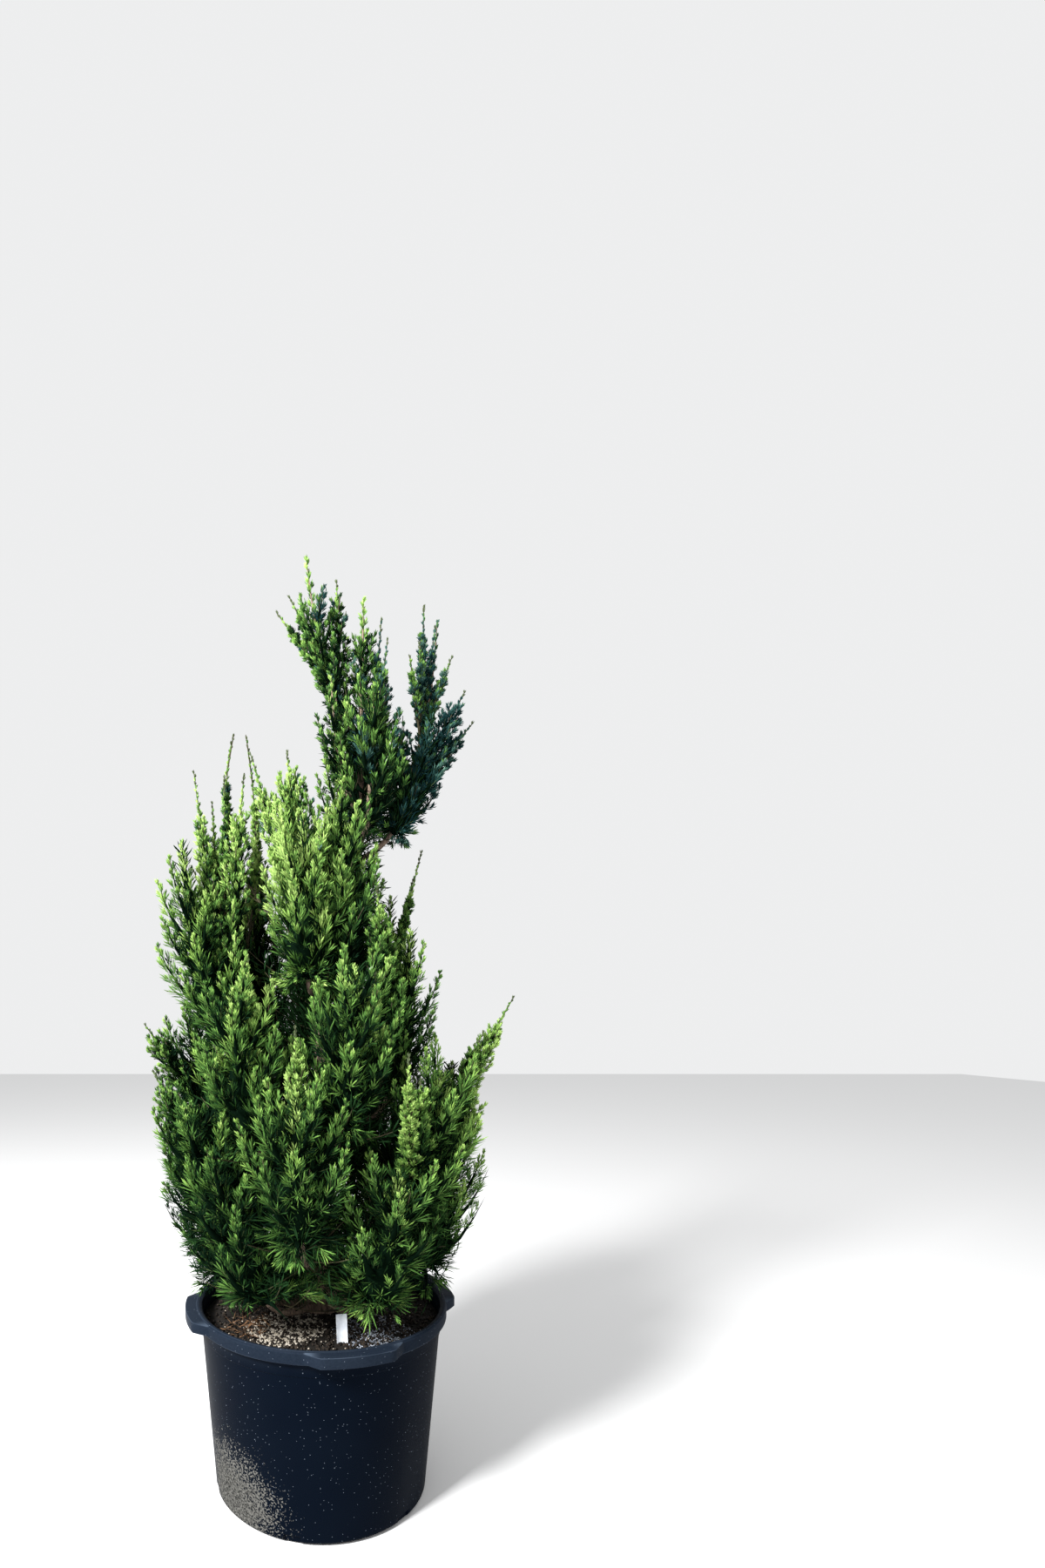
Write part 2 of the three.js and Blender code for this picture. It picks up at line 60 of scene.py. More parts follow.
# Each use of the scatter has its own stream.
STREAMS = {
    "azimuth": 1, "tip_azimuth": 2, "reach": 3, "rise": 4, "spray_start": 60, "plume_length": 61,
    "plume_half": 62, "bough_start": 65, "bough_length": 66, "heart_length": 67,
    "skirt_start": 70, "skirt_open": 71, "skirt_length": 72, "tuft_start": 80, "tuft_size": 81,
    "thinning": 85, "twiglet_start": 90, "twiglet_open": 91, "twiglet_size": 92,
    "wedge_roll": 95, "tuft_light": 100, "plume_light": 101, "twiglet_light": 102,
    "spire_light": 103, "blue": 104, "whip": 105, "lit": 106, "lumps": 110, "lining_aim": 113,
    "lining_size": 114, "bit_reach": 200, "bit_fray": 210, "bit_azimuth": 220, "bit_size": 230,
    "bit_x": 240, "bit_y": 250, "bit_z": 260, "scrap_reach": 270, "scrap_azimuth": 271,
    "scrap_rise": 272, "scrap_x": 273, "scrap_y": 274, "scrap_z": 275, "scrap_size": 276,
}
# Each spire has its own run of seeds.
SEEDS = 7

# The trunk, from the flat cut on the mix to its tip.
TRUNK = {"foot": 414.3, "top": 1800, "radius": 25, "tip_radius": 5, "taper": 0.8, "flare": 20,
         "flare_height": 60, "lean": 88, "lean_from": 1180, "lean_to": 1600, "sway": 9,
         "sway_length": 170, "rows": 240, "columns": 40, "relief": 0.035}

# The bark's strips: of each wave its share, how many go round the trunk, its share of the drift,
# and the height in which it moves on. Their drift: of each wave its share, length and start.
STRIPS = ((1.0, 5, 1, np.inf), (0.6, 11, -2, 37), (0.4, 19, 0, 13))
STRIP_DRIFT = ((1.3, 61, 0), (0.7, 23, 1))

# The band of foliage by its turns, counted down from the head's right-hand side.
BAND = {"per_turn": 6.6, "masses": 24, "boughs_from": 4}
STRAY = {"azimuth": 7, "tip_azimuth": 6, "reach": 0.05, "rise": 0.08}
STATIONS = {
    "turn": (0, 0.3, 0.45, 0.7, 1.0, 1.5, 2.25, 3.0, 3.5),
    "foot": (1180, 1190, 1030, 1000, 950, 790, 660, 520, 484),
    "rise": (290, 320, 470, 440, 360, 300, 300, 290, 280),
    "foot_reach": (62, 85, 198, 160, 150, 225, 230, 220, 190),
    "tip_reach": (85, 105, 296, 225, 200, 318, 318, 315, 295),
    "half": (92, 104, 124, 112, 108, 116, 118, 120, 116),
}

# The masses of the head: azimuth, root, foot, rise, reach of the foot, reach of the tip, half.
HEAD = {
    "head_low": (262, 1370, 1400, 200, 52, 80, 78),
    "head_left": (218, 1560, 1600, 215, 42, 84, 66),
    "head_front": (292, 1480, 1520, 270, 52, 85, 86),
    "head_right": (350, 1440, 1510, 250, 80, 165, 94),
    "head_back": (75, 1490, 1540, 300, 60, 110, 94),
    "wing_right": (8, 1590, 1680, 285, 128, 170, 50),
    "crest_left": (189, 1700, 1750, 318, 30, 120, 50),
    "crest_leader": (0, 1800, 1806, 190, 0, 4, 44),
}

# Long shoots, by the mass that bears them: azimuth, reach and height of the tip, half, and how far
# out towards the tip the knee stands.
SHOOTS = (
    ("head_front", -19, 150, 1905, 30, 0.45),
    ("head_front", -8, 132, 1962, 18, 0.45),
    ("head_right", -3, 180, 1762, 40, 0.45),
    ("head_right", 0, 318, 1818, 50, 0.45),
    ("head_right", 4, 342, 1760, 34, 0.45),
    ("wing_right", -15, 195, 1868, 9, 0.45),
    ("wing_right", -8, 214, 1905, 7, 0.45),
    ("wing_right", 0, 224, 1996, 12, 0.45),
    ("wing_right", 1, 250, 1955, 9, 0.45),
    ("wing_right", 2, 289, 1894, 15, 0.45),
    ("wing_right", 6, 262, 1850, 10, 0.45),
    ("crest_left", 184, 70, 2012, 20, 0.45),
    ("crest_left", 176, 98, 1985, 15, 0.45),
    ("crest_left", -4, 34, 2045, 36, 0.45),
    ("spiral_04", 180, 283, 1650, 40, 0.45),
    ("spiral_04", 178, 335, 1450, 14, 0.45),
    ("spiral_04", 183, 312, 1462, 13, 0.45),
    ("spiral_04", 176, 168, 1730, 22, 2.2),
    ("spiral_04", 180, 215, 1640, 24, 0.45),
    ("spiral_04", 174, 248, 1590, 50, 0.45),
    ("spiral_05", 181, 346, 1285, 14, 0.45),
    ("spiral_05", 172, 150, 1545, 62, 0.45),
    ("spiral_05", 183, 290, 1440, 58, 0.45),
    ("spiral_03", 178, 158, 1690, 44, 0.45),
    ("spiral_03", 180, 192, 1728, 17, 1.5),
    ("spiral_04", 184, 170, 1640, 58, 0.45),
    ("spiral_03", 184, 76, 1692, 82, 0.45),
    ("spiral_02", 242, 78, 1500, 70, 0.45),
    ("spiral_07", 4, 229, 1480, 22, 0.45),
    ("spiral_07", 8, 214, 1420, 26, 0.45),
    ("spiral_08", -53, 190, 1372, 60, 0.45),
    ("spiral_09", -66, 262, 1190, 44, 0.6),
    ("spiral_10", 234, 250, 1228, 40, 0.6),
    ("spiral_10", 222, 292, 1045, 44, 0.45),
    ("spiral_11", 181, 404, 1088, 60, 0.45),
    ("spiral_13", 98, 330, 1150, 56, 0.45),
    ("spiral_14", 0, 442, 1152, 52, 0.45),
    ("spiral_14", -2, 372, 1072, 48, 0.45),
    ("spiral_14", -12, 322, 930, 70, 0.9),
    ("spiral_15", -64, 370, 1036, 26, 0.9),
    ("spiral_15", -54, 330, 985, 56, 0.45),
    ("spiral_16", 259, 264, 1088, 46, 0.45),
    ("spiral_17", 187, 380, 985, 60, 0.45),
    ("spiral_17", 196, 322, 890, 64, 0.9),
)
BOUGH = {"radius": 10, "tip_radius": 7, "slope": 0.62, "lowest": 432, "knee": 0.4, "clear": 0.3}
GIRTH = {"start": 0.06, "full": 0.28, "swell": 0.7}
KNEE = (0.72, 0.34)
SHOOT = {"from": 0.14, "knee_rise": 0.5, "taper": 1.3}

# Masses whose spires are slimmer and barer than their solids, and those with more plumes.
AIRY = {"wing_right": 0.34, "crest_left": 0.84, "crest_leader": 0.7, "head_left": 0.76,
        "head_right": 0.8, "spiral_01": 0.86, "spiral_04": 0.82, "spiral_07": 0.8,
        "spiral_08": 0.85, "spiral_14": 0.84}
CROWDED = {"crest_left": 1.6, "crest_leader": 1.8, "head_left": 1.25}
NO_SKIRT = ("head_left", "crest_left", "crest_leader", "wing_right", "head_front")
NO_CORE = ("head_low", "head_front")

# Plumes: those of the masses, of the boughs, round the trunk, of the long shoots, at the end of a
# spire, and the skirt that hangs round the foot of a mass.
PLUME = {"half": 0.36, "least": 19, "most": 46, "sharp": 0.8, "body": 0.25, "slimmer": 0.25}
MASS_PLUME = {"spacing": 19, "first": 0.0, "last": 0.92, "sharp": 0.5, "reach": 1.2,
              "length": 1.45, "shorter": 0.4, "out": 0.62, "along": 0.5, "up": 0.5, "splay": 0.2,
              "back": 0.08, "knee": 0.1, "vary_length": 0.22, "vary_half": 0.15, "airy": 0.75,
              "ids": 31}
INNER = {"count": 13, "first": 0.3, "last": 0.98, "length": 165, "half": 44, "up": 0.7,
         "along": 0.3, "vary": 0.25, "ids": 9}
HEART = {"spacing": 11, "low": 500, "high": 1740, "full_to": 1280, "short_from": 1420,
         "length_low": 180, "length_high": 85, "half": 40, "up": 0.6, "vary": 0.2}
INNER_KNEE = (0.6, 0.35)
SHOOT_PLUME = {"spacing": 16, "first": 0.12, "last": 0.76, "share": 0.95, "open_low": 28,
               "open_high": 12, "shortest": 0.62, "short_from": 1.15, "longest": 1.6,
               "half": 0.44, "half_from": 1.2, "least": 6.5, "knee": (0.6, 0.4)}
LEADER = {"from": 0.3, "half": 0.42, "past": 0.04, "sharp": 1.8}
SKIRT = {"count": 8, "at": 0.05, "open": 106, "spread": 20, "length": 0.62, "longest": 1.0,
         "low_from": 600, "low_full": 500, "floor": 500, "knee": (0.5, 0.3), "vary": 0.2,
         "ids": 11}
TUFT = {"spacing": 8.6, "fewest": 6, "first": 0.02, "last": 0.985, "open_low": 46,
        "open_high": 13, "shortest": 25, "longest": 62, "slim": 0.72, "lift": 0.2, "lowest": 478,
        "full_at": 13, "whip_open": 0.75, "whip_at": 4, "vary": 0.2}
# The fringe over the container's rim: how far out a tuft may end at the foot, how that widens, and
# where the fringe ends higher, so that the mix shows.
RIM = {"foot": 478, "reach": 288, "slope": 0.3, "to": 760, "raised": 58, "raised_from": -100,
       "raised_at": -62, "raised_half": 95, "raised_edge": 1.6, "spill": 12}
# Where bare trunk shows between the foliage low in the head: x, z, half width, half height. A tuft
# stands before it with this share of its length.
WINDOW = (80, 1597, 17, 44)
WINDOW_SHARE = 0.8
TWIGLET = {"count": 12, "first": 0.05, "open_low": 38, "open_high": 16, "open_swing": 8,
           "share": 0.62, "least": 13, "whip_least": 0.8, "most": 30, "radius": 2.0,
           "closing": 0.25, "shorter": 0.15, "lift": 0.08, "whip_open": 0.7,
           "whip_radius": 0.85, "low_size": 1.05, "high_size": 0.95, "vary": 0.25}
# A tuft's stalk stops short of its end by a share of a twiglet. Its visible sliver is shorter.
STALK = {"short": 0.8, "least": 0.5, "shown": 0.8, "radius": 1.5}
# The fans of longer, finer twiglets that hang low on the plant, by the height where they end and
# by how steeply they rise.
FAN = {"high": 1050, "low": 650, "steep": 0.9, "flat": 0.4, "longer": 0.3, "finer": 0.25}

# A twiglet's three outer corners: how far along it each stands, and its share of the radius.
WEDGE = ((0.4, 0.9), (0.7, 1.0), (1.0, 0.2))
WEDGE_FACES = np.array([(0, 2, 1), (0, 3, 2), (0, 1, 3), (1, 2, 3)])

# The growth inside each mass, dark as painted shade: a lumpy body, its sides and rings, and
# the coarse sprays that cover it.
CORE = {"mass": 0.42, "sharp": 1.1, "plume": 0.24, "plume_sharp": 1.4, "lumps": 0.2,
        "mass_grid": (10, 12), "plume_grid": (5, 6)}
LINING = {"count": 300, "inner_count": 44, "inner_share": 0.6, "length": 46, "radius": 2.4,
          "full_half": 110, "least_half": 62, "margin": 20, "root": 0.85, "along": 0.5,
          "out": 0.8, "up": 0.4, "stray": 0.3, "vary": 0.3, "low_size": 1.1, "shorter": 0.5}
# The thicket of sprays round the trunk, dark as painted shade.
THICKET = {"low": 530, "high": 1500, "half": 115, "count": 2600, "scale": 1.5}

# How sheltered a tuft is: the share of steps outwards from its end that lie in held cells. Where
# it is sheltered, tufts are fewer and coarser, but not in the fringe.
CELL = {"size": 22, "steps": (38, 60, 82, 104, 126), "up": 0.28, "open": 0.28, "full": 0.84,
        "kept": 0.06, "coarser": 0.8, "fringe": 520, "above_fringe": 620}

# Greens from the dark inside of a mass, painted shade with some duller inner growth, out to its
# sunlit tips, painted light with some lighter young growth; bluish ones of painted shade on the
# head; and the grey of the bare whips. The dark ones are matt.
GREENS = {
    "deep": (0.004, 0.013, 0.006),
    "dusk": (0.016, 0.046, 0.012),
    "shade": (0.052, 0.126, 0.023),
    "leaf": (0.104, 0.214, 0.042),
    "fresh_and_lit": (0.182, 0.314, 0.064),
    "bright": (0.290, 0.430, 0.115),
}
# Painted bluish shade on the head: the tint that skylight gives its shadows.
BLUES = {
    "blue_deep": (0.006, 0.021, 0.022),
    "blue_shade": (0.017, 0.050, 0.045),
    "blue_leaf": (0.038, 0.090, 0.070),
    "blue_tip": (0.080, 0.150, 0.115),
}
WHIP = {"whip_grey": (0.070, 0.092, 0.045)}
MATT = ("deep", "dusk", "blue_deep", "blue_shade")
SPRAY_LOOK = {"roughness": 0.75, "gloss": 0.12}

# A twiglet's light, in steps of the greens: the weight of each thing that it depends on, and how
# far it swings at random.
LIGHT = {"base": 0.8, "plume_end": 2.9, "standing": 0.5, "outward": 0.7, "whip": -0.4,
         "rightward": -0.5, "spire_end": 0.8, "slender": 1.8, "wing": 2.2, "sheltered": -3.1,
         "tuft_end": 2.1}
LIGHT_SWING = {"tuft": 0.6, "plume": 0.9, "spire": 0.45, "twiglet": 0.5}
# Where foliage is painted lighter or darker, as light and shade fall on the crown, and in part
# lighter with younger growth: the weight, and the ramps that it is multiplied by, each the axis,
# the place where it starts and the place where it is full.
ZONES = (
    (-0.5, ((Z, 1750, 1900),)),
    (0.5, ((X, -20, -80), (Z, 1250, 1400))),
    (1.2, ((X, 120, 0), (X, -330, -160), (Z, 1050, 1400), (Z, 1640, 1460))),
    (-0.6, ((X, 150, 270),)),
    (1.5, ((X, 250, 330), (Z, 1150, 1000))),
    (-0.9, ((X, -150, -260), (Z, 1300, 1050))),
    (-0.5, ((Z, 950, 650),)),
    (-1.5, ((Z, 1430, 1530), (X, 80, 160))),
)
# The slender shoots that stand lit at the front, low on the plant.
SLENDER = {"half": 62, "full_half": 34, "top": 1300, "full_top": 1240, "aside": 260}
# Plumes with painted bluish shade: their masses, the height and the side where they begin, their
# share elsewhere in the head, and the light from which a twiglet of theirs is green.
BLUISH = {"masses": ("wing_right", "head_back"), "height": (1380, 1520), "side": (90, 200),
          "share": 0.15, "green_from": 3.0, "green_swing": 0.5}
# Bare whips: how slim their tufts are, and how near the plume's tip they stand.
BARE = {"slim": 0.3, "from": 0.9, "swing": 0.06}

# Radii of the wood inside the foliage, and its sides and rings.
WOOD = {"stem": 7.0, "shoot": 3.5, "shoot_tip": 0.8, "twig": 2.2, "twig_tip": 0.6,
        "stem_grid": (6, 8), "shoot_grid": (6, 10), "twig_grid": (4, 5), "bough_grid": (10, 14),
        "fringe_share": 0.5}

# The container, the mix in it and the tag.
POT = {"height": 445, "foot_radius": 250, "mouth_radius": 283, "wall": 4, "floor": 5,
       "foot_round": 9, "lip_depth": 29, "lip_reach": 11, "lip_round": 3, "lip_slope": 5,
       "lip_fall": (1.8, 2), "ledge_drop": 62, "ledge_reach": 2, "columns": 180,
       "fillet_steps": 4}
# How far each corner of the container's section is cut back by its fillet, in the section's order.
FILLETS = (0, 0, 2, 2, 0.5, 0.5, 0.8, 0.8, 1, 1.6, 0.2, 0.6, 1.4, 0.5, 1.2, 1.6, 2, 2, 0)
LUG = {"count": 4, "azimuth": 14, "reach": 317, "half_angle": 21, "corner_angle": 7, "drop": 2,
       "depth": 23, "nose": 1}
DRAIN = {"count": 6, "azimuth": 256, "width": 36, "height": 20, "depth": 15,
         "corner_angle": 0.3, "roof": 2, "lap": 1}
# Edges partly scuffed and partly painted highlight: how far under the lip's foot they begin, and
# the strength.
WEAR_AND_HIGHLIGHT = {"below_lip": 1, "strength": 2.5}
SOIL = {"crown": 414, "shoulder": 404, "crown_radius": 70, "shoulder_margin": 90, "relief": 3.5,
        "gap": 0.6, "clear": 0.3, "rings": 60, "columns": 120}
# The two crossing waves of the mix: length, drift, and length of the drift.
SOIL_WAVES = ((9, 2, 17), (11, 1.5, 23))
TAG = {"azimuth": -75, "reach": 178, "width": 24, "height": 112, "thick": 1.2, "stands": 64,
       "point": 18, "lean": 9, "turn": 12, "bow": 2.5, "rings": 16, "columns": 6}

# Loose bits on the mix: how many, centre and radius of their patch, size, and their stretch.
BITS = {
    "granules_tan": (1500, -80, -98, 90, 2.7, (1, 1, 0.8)),
    "granules_grey": (1050, 118, -118, 88, 2.2, (1, 1, 0.8)),
    "granules_loose": (420, 0, 0, 262, 2.4, (1, 1, 0.8)),
    "bark_chips": (2600, 0, 0, 268, 4.2, (1.9, 1, 0.45)),
}
# A patch of bits is dense in its middle and frays out at its edge.
BIT = {"dense": 0.78, "fray": 0.3, "margin": 6, "least": 0.7, "vary": 0.6, "lifted": 0.35,
       "upright": 2}
GRAIN_CORNERS = np.array([(1, 0, 0), (-1, 0, 0), (0, 1, 0), (0, -1, 0), (0, 0, 1), (0, 0, -1)])
GRAIN_FACES = np.array([(0, 2, 4), (2, 1, 4), (1, 3, 4), (3, 0, 4), (2, 0, 5), (1, 2, 5),
                        (3, 1, 5), (0, 3, 5)])
SCRAPS = {"count": 90, "centre": (-158, -105), "spread": 42, "length": 38, "radius": 1.5,
          "rise": 34, "lifted": 2, "end_lifted": 1, "level": 0.5, "least": 0.6, "vary": 0.6}

# Plain materials: colour, roughness and gloss.
PLAIN = {
    "green_stalk": ((0.05, 0.075, 0.022), 0.6, 0.15),
    # The next two are dark as painted shade: the cores, and the sprays over the cores, the inner
    # plumes and the trunk.
    "painted_shade_core": ((0.002, 0.006, 0.003), 1.0, 0.0),
    "painted_shade_sprays": ((0.008, 0.024, 0.008), 1.0, 0.0),
    "twig_brown": ((0.045, 0.040, 0.020), 0.6, 0.15),
    "floor_pale": ((0.74, 0.74, 0.74), 0.9, 0.0),
}
# Mottled materials: dark and pale colour, scale of the noise, and roughness.
MOTTLED = {
    "mix_dark": ((0.006, 0.005, 0.004), (0.011, 0.009, 0.007), 160, 0.95),
    "granules_tan": ((0.22, 0.19, 0.145), (0.50, 0.455, 0.385), 90, 0.95),
    "granules_grey": ((0.12, 0.135, 0.16), (0.34, 0.37, 0.42), 90, 0.95),
    "granules_loose": ((0.18, 0.14, 0.10), (0.50, 0.45, 0.37), 90, 0.95),
    "bark_chips": ((0.005, 0.004, 0.0035), (0.034, 0.025, 0.018), 90, 0.95),
    "scrap_brown": ((0.07, 0.035, 0.016), (0.24, 0.13, 0.065), 120, 0.95),
    "tag_white": ((0.62, 0.66, 0.72), (0.80, 0.84, 0.88), 60, 0.45),
}
MOTTLE = {"detail": 4, "from": 0.35, "to": 0.65, "gloss": 0.2}
BARK = {"stretch": (260, 260, 22), "detail": 5, "dark": (0.045, 0.03, 0.022),
        "pale": (0.30, 0.215, 0.155), "from": 0.3, "to": 0.72, "roughness": 0.9, "bump": 0.5,
        "depth": 0.002}

# The container's surface: satin black, its cold tint a painted reflection of the sky; its lip,
# paler partly with dust and partly with painted sheen; edges partly scuffed and partly painted
# highlight;
# dust; and mud low on the left.
BLACK = {"low": (0.0008, 0.0021, 0.0055), "high": (0.0018, 0.0038, 0.0078), "cloud": (7, 4),
         "grain": (240, 4), "smooth": 0.42, "matt": 0.9, "gloss": 0.1, "ior": 1.13,
         "bump": 0.35, "depth": 0.0012, "relief": (60, 3), "relief_share": 0.4}
# The lip, paler partly with dust and partly with painted sheen, and the colour of its edges, partly
# scuffed and partly painted highlight.
LIP = {"low": (0.0040, 0.0072, 0.0130), "high": (0.0110, 0.0160, 0.0255), "from": 0.412,
       "to": 0.420, "worn_and_lit": (0.065, 0.086, 0.118), "worn_and_lit_from": 0.25, "worn_and_lit_to": 0.6}
# Dust specks: stretch of their cells, radius of a speck, and the cells that stay bare.
DUST = (((125, 125, 125), 0.10, 0.5), ((60, 60, 60), 0.065, 0.66), ((85, 60, 170), 0.09, 0.75))
DUST_LOOK = {"colour": (0.13, 0.155, 0.19), "strength": 0.75}
MUD = {"centre": (-0.190, -0.165, 0.052), "reach": 0.118, "rough": 3.0, "blotch": 0.9,
       "blotches": (30, 4), "from": 0.16, "to": 0.24, "low": (0.010, 0.0105, 0.010),
       "high": (0.105, 0.103, 0.095), "grain_from": 0.35, "grain_to": 0.65}
# The colour sockets of a mix node.
MIX_FIRST, MIX_SECOND, MIX_RESULT = 6, 7, 2

# The stage, the light and the camera.
FLOOR_HALF = 12000
WORLD = {"colour": (0.99, 0.995, 1.0, 1), "strength": 0.86}
KEY = {"place": (-2.5, -2.5, 3.6), "target": (0, 0, 1.1), "size": 1.0, "power": 620}
CAMERA = {"lens": 16.79, "shift_x": 0.1285, "shift_y": 0.1907, "place": (0, -1.682, 1.109),
          "down": 5.34}


# Numbers and directions.
def scatter(index, stream, nth=0):
    """Scatter between 0 and 1: the part after the point of 43758.5453 sin(12.9898 i + 78.233 s)."""
    s = np.sin(index * 12.9898 + (STREAMS[stream] + nth) * 78.233) * 43758.5453
    return s - np.floor(s)


def swing(index, stream, nth=0):
    """Scatter between -1 and 1."""
    return 2 * scatter(index, stream, nth) - 1


def vary(index, stream, share):
    """A factor that strays from 1 by up to that share."""
    return 1 + share * swing(index, stream)


def mix(a, b, t):
    """a + (b - a) t."""
    return a + (b - a) * t


def smoothstep(t):
    """3 t^2 - 2 t^3, with t kept from 0 to 1."""
    t = np.clip(t, 0, 1)
    return t * t * (3 - 2 * t)


def rising(value, start, full):
    """The smoothstep from 0 at start to 1 at full, which may lie to either side of it."""
    return smoothstep((value - start) / (full - start))


def unit(v):
    """Each vector divided by its length."""
    return v / np.linalg.norm(v, axis=-1, keepdims=True)


def polar(azimuth, reach, height):
    """Points (reach cos a, reach sin a, height)."""
    a = np.radians(azimuth)
    return np.stack(np.broadcast_arrays(reach * np.cos(a), reach * np.sin(a), height), axis=-1)


def across(along):
    """Two unit directions across each heading: side = axis x heading, other = heading x side."""
    flat = np.abs(along[..., :1]) < STEEP
    axis = np.where(flat, [1.0, 0.0, 0.0], [0.0, 1.0, 0.0])
    side = unit(np.cross(axis, along))
    return side, np.cross(along, side)


def turned(first, second, angle):
    """first cos a + second sin a."""
    angle = angle[..., None]
    return first * np.cos(angle) + second * np.sin(angle)


def around(along, angle):
    """Directions across each heading, turned about it by that angle."""
    return turned(*across(along), angle)


def golden_turn(j, seed, stream):
    """The angle of the jth step of the golden angle, from a scattered start, in radians."""
    return np.radians(j * GOLDEN + 360 * scatter(seed, stream))


def counted(count):
    """For ragged runs of that many each: which run every entry is in, and its place in it."""
    run = np.repeat(np.arange(len(count)), count)
    first = np.concatenate([[0], np.cumsum(count)[:-1]])
    return run, np.arange(len(run)) - first[run]


def joined(sets):
    """Several sets of plumes as one."""
    return {key: np.concatenate([s[key] for s in sets]) for key in sets[0]}


# Lines.
def bezier(line, t):
    """(1-t)^2 a + 2 t (1-t) b + t^2 c along each line (n, 3, 3) at its own t (n, m)."""
    a, b, c = (line[:, None, i] for i in range(3))
    t = t[..., None]
    return (1 - t) ** 2 * a + 2 * t * (1 - t) * b + t ** 2 * c


def heading(line, t):
    """Unit slope of the same curve: (1-t) (b-a) + t (c-b)."""
    a, b, c = (line[:, None, i] for i in range(3))
    t = t[..., None]
    return unit((1 - t) * (b - a) + t * (c - b))


def point_at(line, t):
    """One point of each line, at its own t."""
    return bezier(line, t[:, None])[:, 0]


def heading_at(line, t):
    """The heading at one point of each line, at its own t."""
    return heading(line, t[:, None])[:, 0]


def length_of(line):
    """The length of each line, summed over short straight steps."""
    points = bezier(line, np.linspace(0, 1, LENGTH_STEPS)[None].repeat(len(line), axis=0))
    return np.linalg.norm(np.diff(points, axis=1), axis=-1).sum(axis=1)


def with_knee(foot, tip, knee):
    """Lines from foot to tip whose knee is a share of the way out and a share of the rise."""
    out, rise = knee
    middle = mix(foot, tip, out)
    middle[..., Z] = mix(foot[..., Z], tip[..., Z], rise)
    return np.stack([foot, middle, tip], axis=1)


def girth(t, sharp):
    """A short swell from the foot, then a long taper to the tip."""
    swell = np.minimum(1, (t + GIRTH["start"]) / (GIRTH["full"] + GIRTH["start"])) ** GIRTH["swell"]
    taper = (1 - np.maximum(0, t - GIRTH["full"]) / (1 - GIRTH["full"])) ** sharp
    return swell * taper


# Trunk, boughs and masses.
def trunk_centre(height):
    """x = lean smoothstep(height), y = sway sin(height / sway length)."""
    height = np.asarray(height, dtype=float)
    x = TRUNK["lean"] * rising(height, TRUNK["lean_from"], TRUNK["lean_to"])
    y = TRUNK["sway"] * np.sin(height / TRUNK["sway_length"])
    return np.stack([x, y, height], axis=-1)


def trunk_radius(height):
    """A taper from the foot to the tip, and a flare that dies away above the foot."""
    t = (height - TRUNK["foot"]) / (TRUNK["top"] - TRUNK["foot"])
    spread = TRUNK["flare"] * np.exp(-(height - TRUNK["foot"]) / TRUNK["flare_height"])
    return mix(TRUNK["radius"], TRUNK["tip_radius"], t ** TRUNK["taper"]) + spread


def beside_trunk(azimuth, reach, height):
    """Points at an azimuth and reach from the trunk's centre at their own height."""
    centre = trunk_centre(np.minimum(height, TRUNK["top"]))
    centre[..., Z] = 0
    return polar(azimuth, reach, height) + centre


def out_of_trunk(place):
    """From the trunk's centre at the same height to each point."""
    out = place - trunk_centre(np.clip(place[:, Z], 0, TRUNK["top"]))
    out[:, Z] = 0
    return out


def plan():
    """The masses: their names, the root height on the trunk, whether a bough bears them, lines."""
    k = np.arange(BAND["masses"])
    turn = k / BAND["per_turn"]
    size = {key: np.interp(turn, STATIONS["turn"], STATIONS[key]) for key in STATIONS}
    azimuth = -360 * turn + STRAY["azimuth"] * swing(k, "azimuth")
    tip_azimuth = azimuth + STRAY["tip_azimuth"] * swing(k, "tip_azimuth")
    tip_reach = size["tip_reach"] * vary(k, "reach", STRAY["reach"])
    foot = beside_trunk(azimuth, size["foot_reach"], size["foot"])
    tip = beside_trunk(tip_azimuth, tip_reach, np.zeros(len(k)))
    tip[:, Z] = size["foot"] + size["rise"] * vary(k, "rise", STRAY["rise"])
    root = np.maximum(BOUGH["lowest"], size["foot"] - BOUGH["slope"] * size["foot_reach"])

    rows = np.array(list(HEAD.values()), dtype=float)
    head_azimuth, head_root, head_foot, head_rise, foot_out, tip_out, head_half = rows.T
    low = beside_trunk(head_azimuth, foot_out, head_foot)
    high = beside_trunk(head_azimuth, tip_out, head_foot)
    high[:, Z] += head_rise

    return {
        "name": [f"spiral_{i + 1:02d}" for i in k] + list(HEAD),
        "root": np.concatenate([root, head_root]),
        "bough": np.concatenate([k >= BAND["boughs_from"], np.zeros(len(rows), dtype=bool)]),
        "line": np.concatenate([with_knee(foot, tip, KNEE), with_knee(low, high, KNEE)]),
        "half": np.concatenate([size["half"], head_half]),
    }


def all_spires(masses):
    """The main spire of each mass, then every long shoot, with the seed of its sprays."""
    names = masses["name"]
    mains, shoots = len(names), len(SHOOTS)
    owner = np.array([names.index(row[0]) for row in SHOOTS])
    azimuth, reach, height, half, knee = np.array([row[1:] for row in SHOOTS], dtype=float).T
    start = point_at(masses["line"][owner], np.full(shoots, SHOOT["from"]))
    lines = with_knee(start, polar(azimuth, reach, height), (knee[:, None], SHOOT["knee_rise"]))
    nth = np.array([(owner[:i] == owner[i]).sum() for i in range(shoots)])
    airy = np.array([AIRY.get(name, 1) for name in names])
    return {
        "name": np.array(names)[np.concatenate([np.arange(mains), owner])],
        "line": np.concatenate([masses["line"], lines]),
        "half": np.concatenate([masses["half"] * airy, half]),
        "airy": np.concatenate([airy, np.ones(shoots)]),
        "seed": np.concatenate([np.arange(mains) * SEEDS, owner * SEEDS + 1 + nth]),
        "main": np.arange(mains + shoots) < mains,
    }


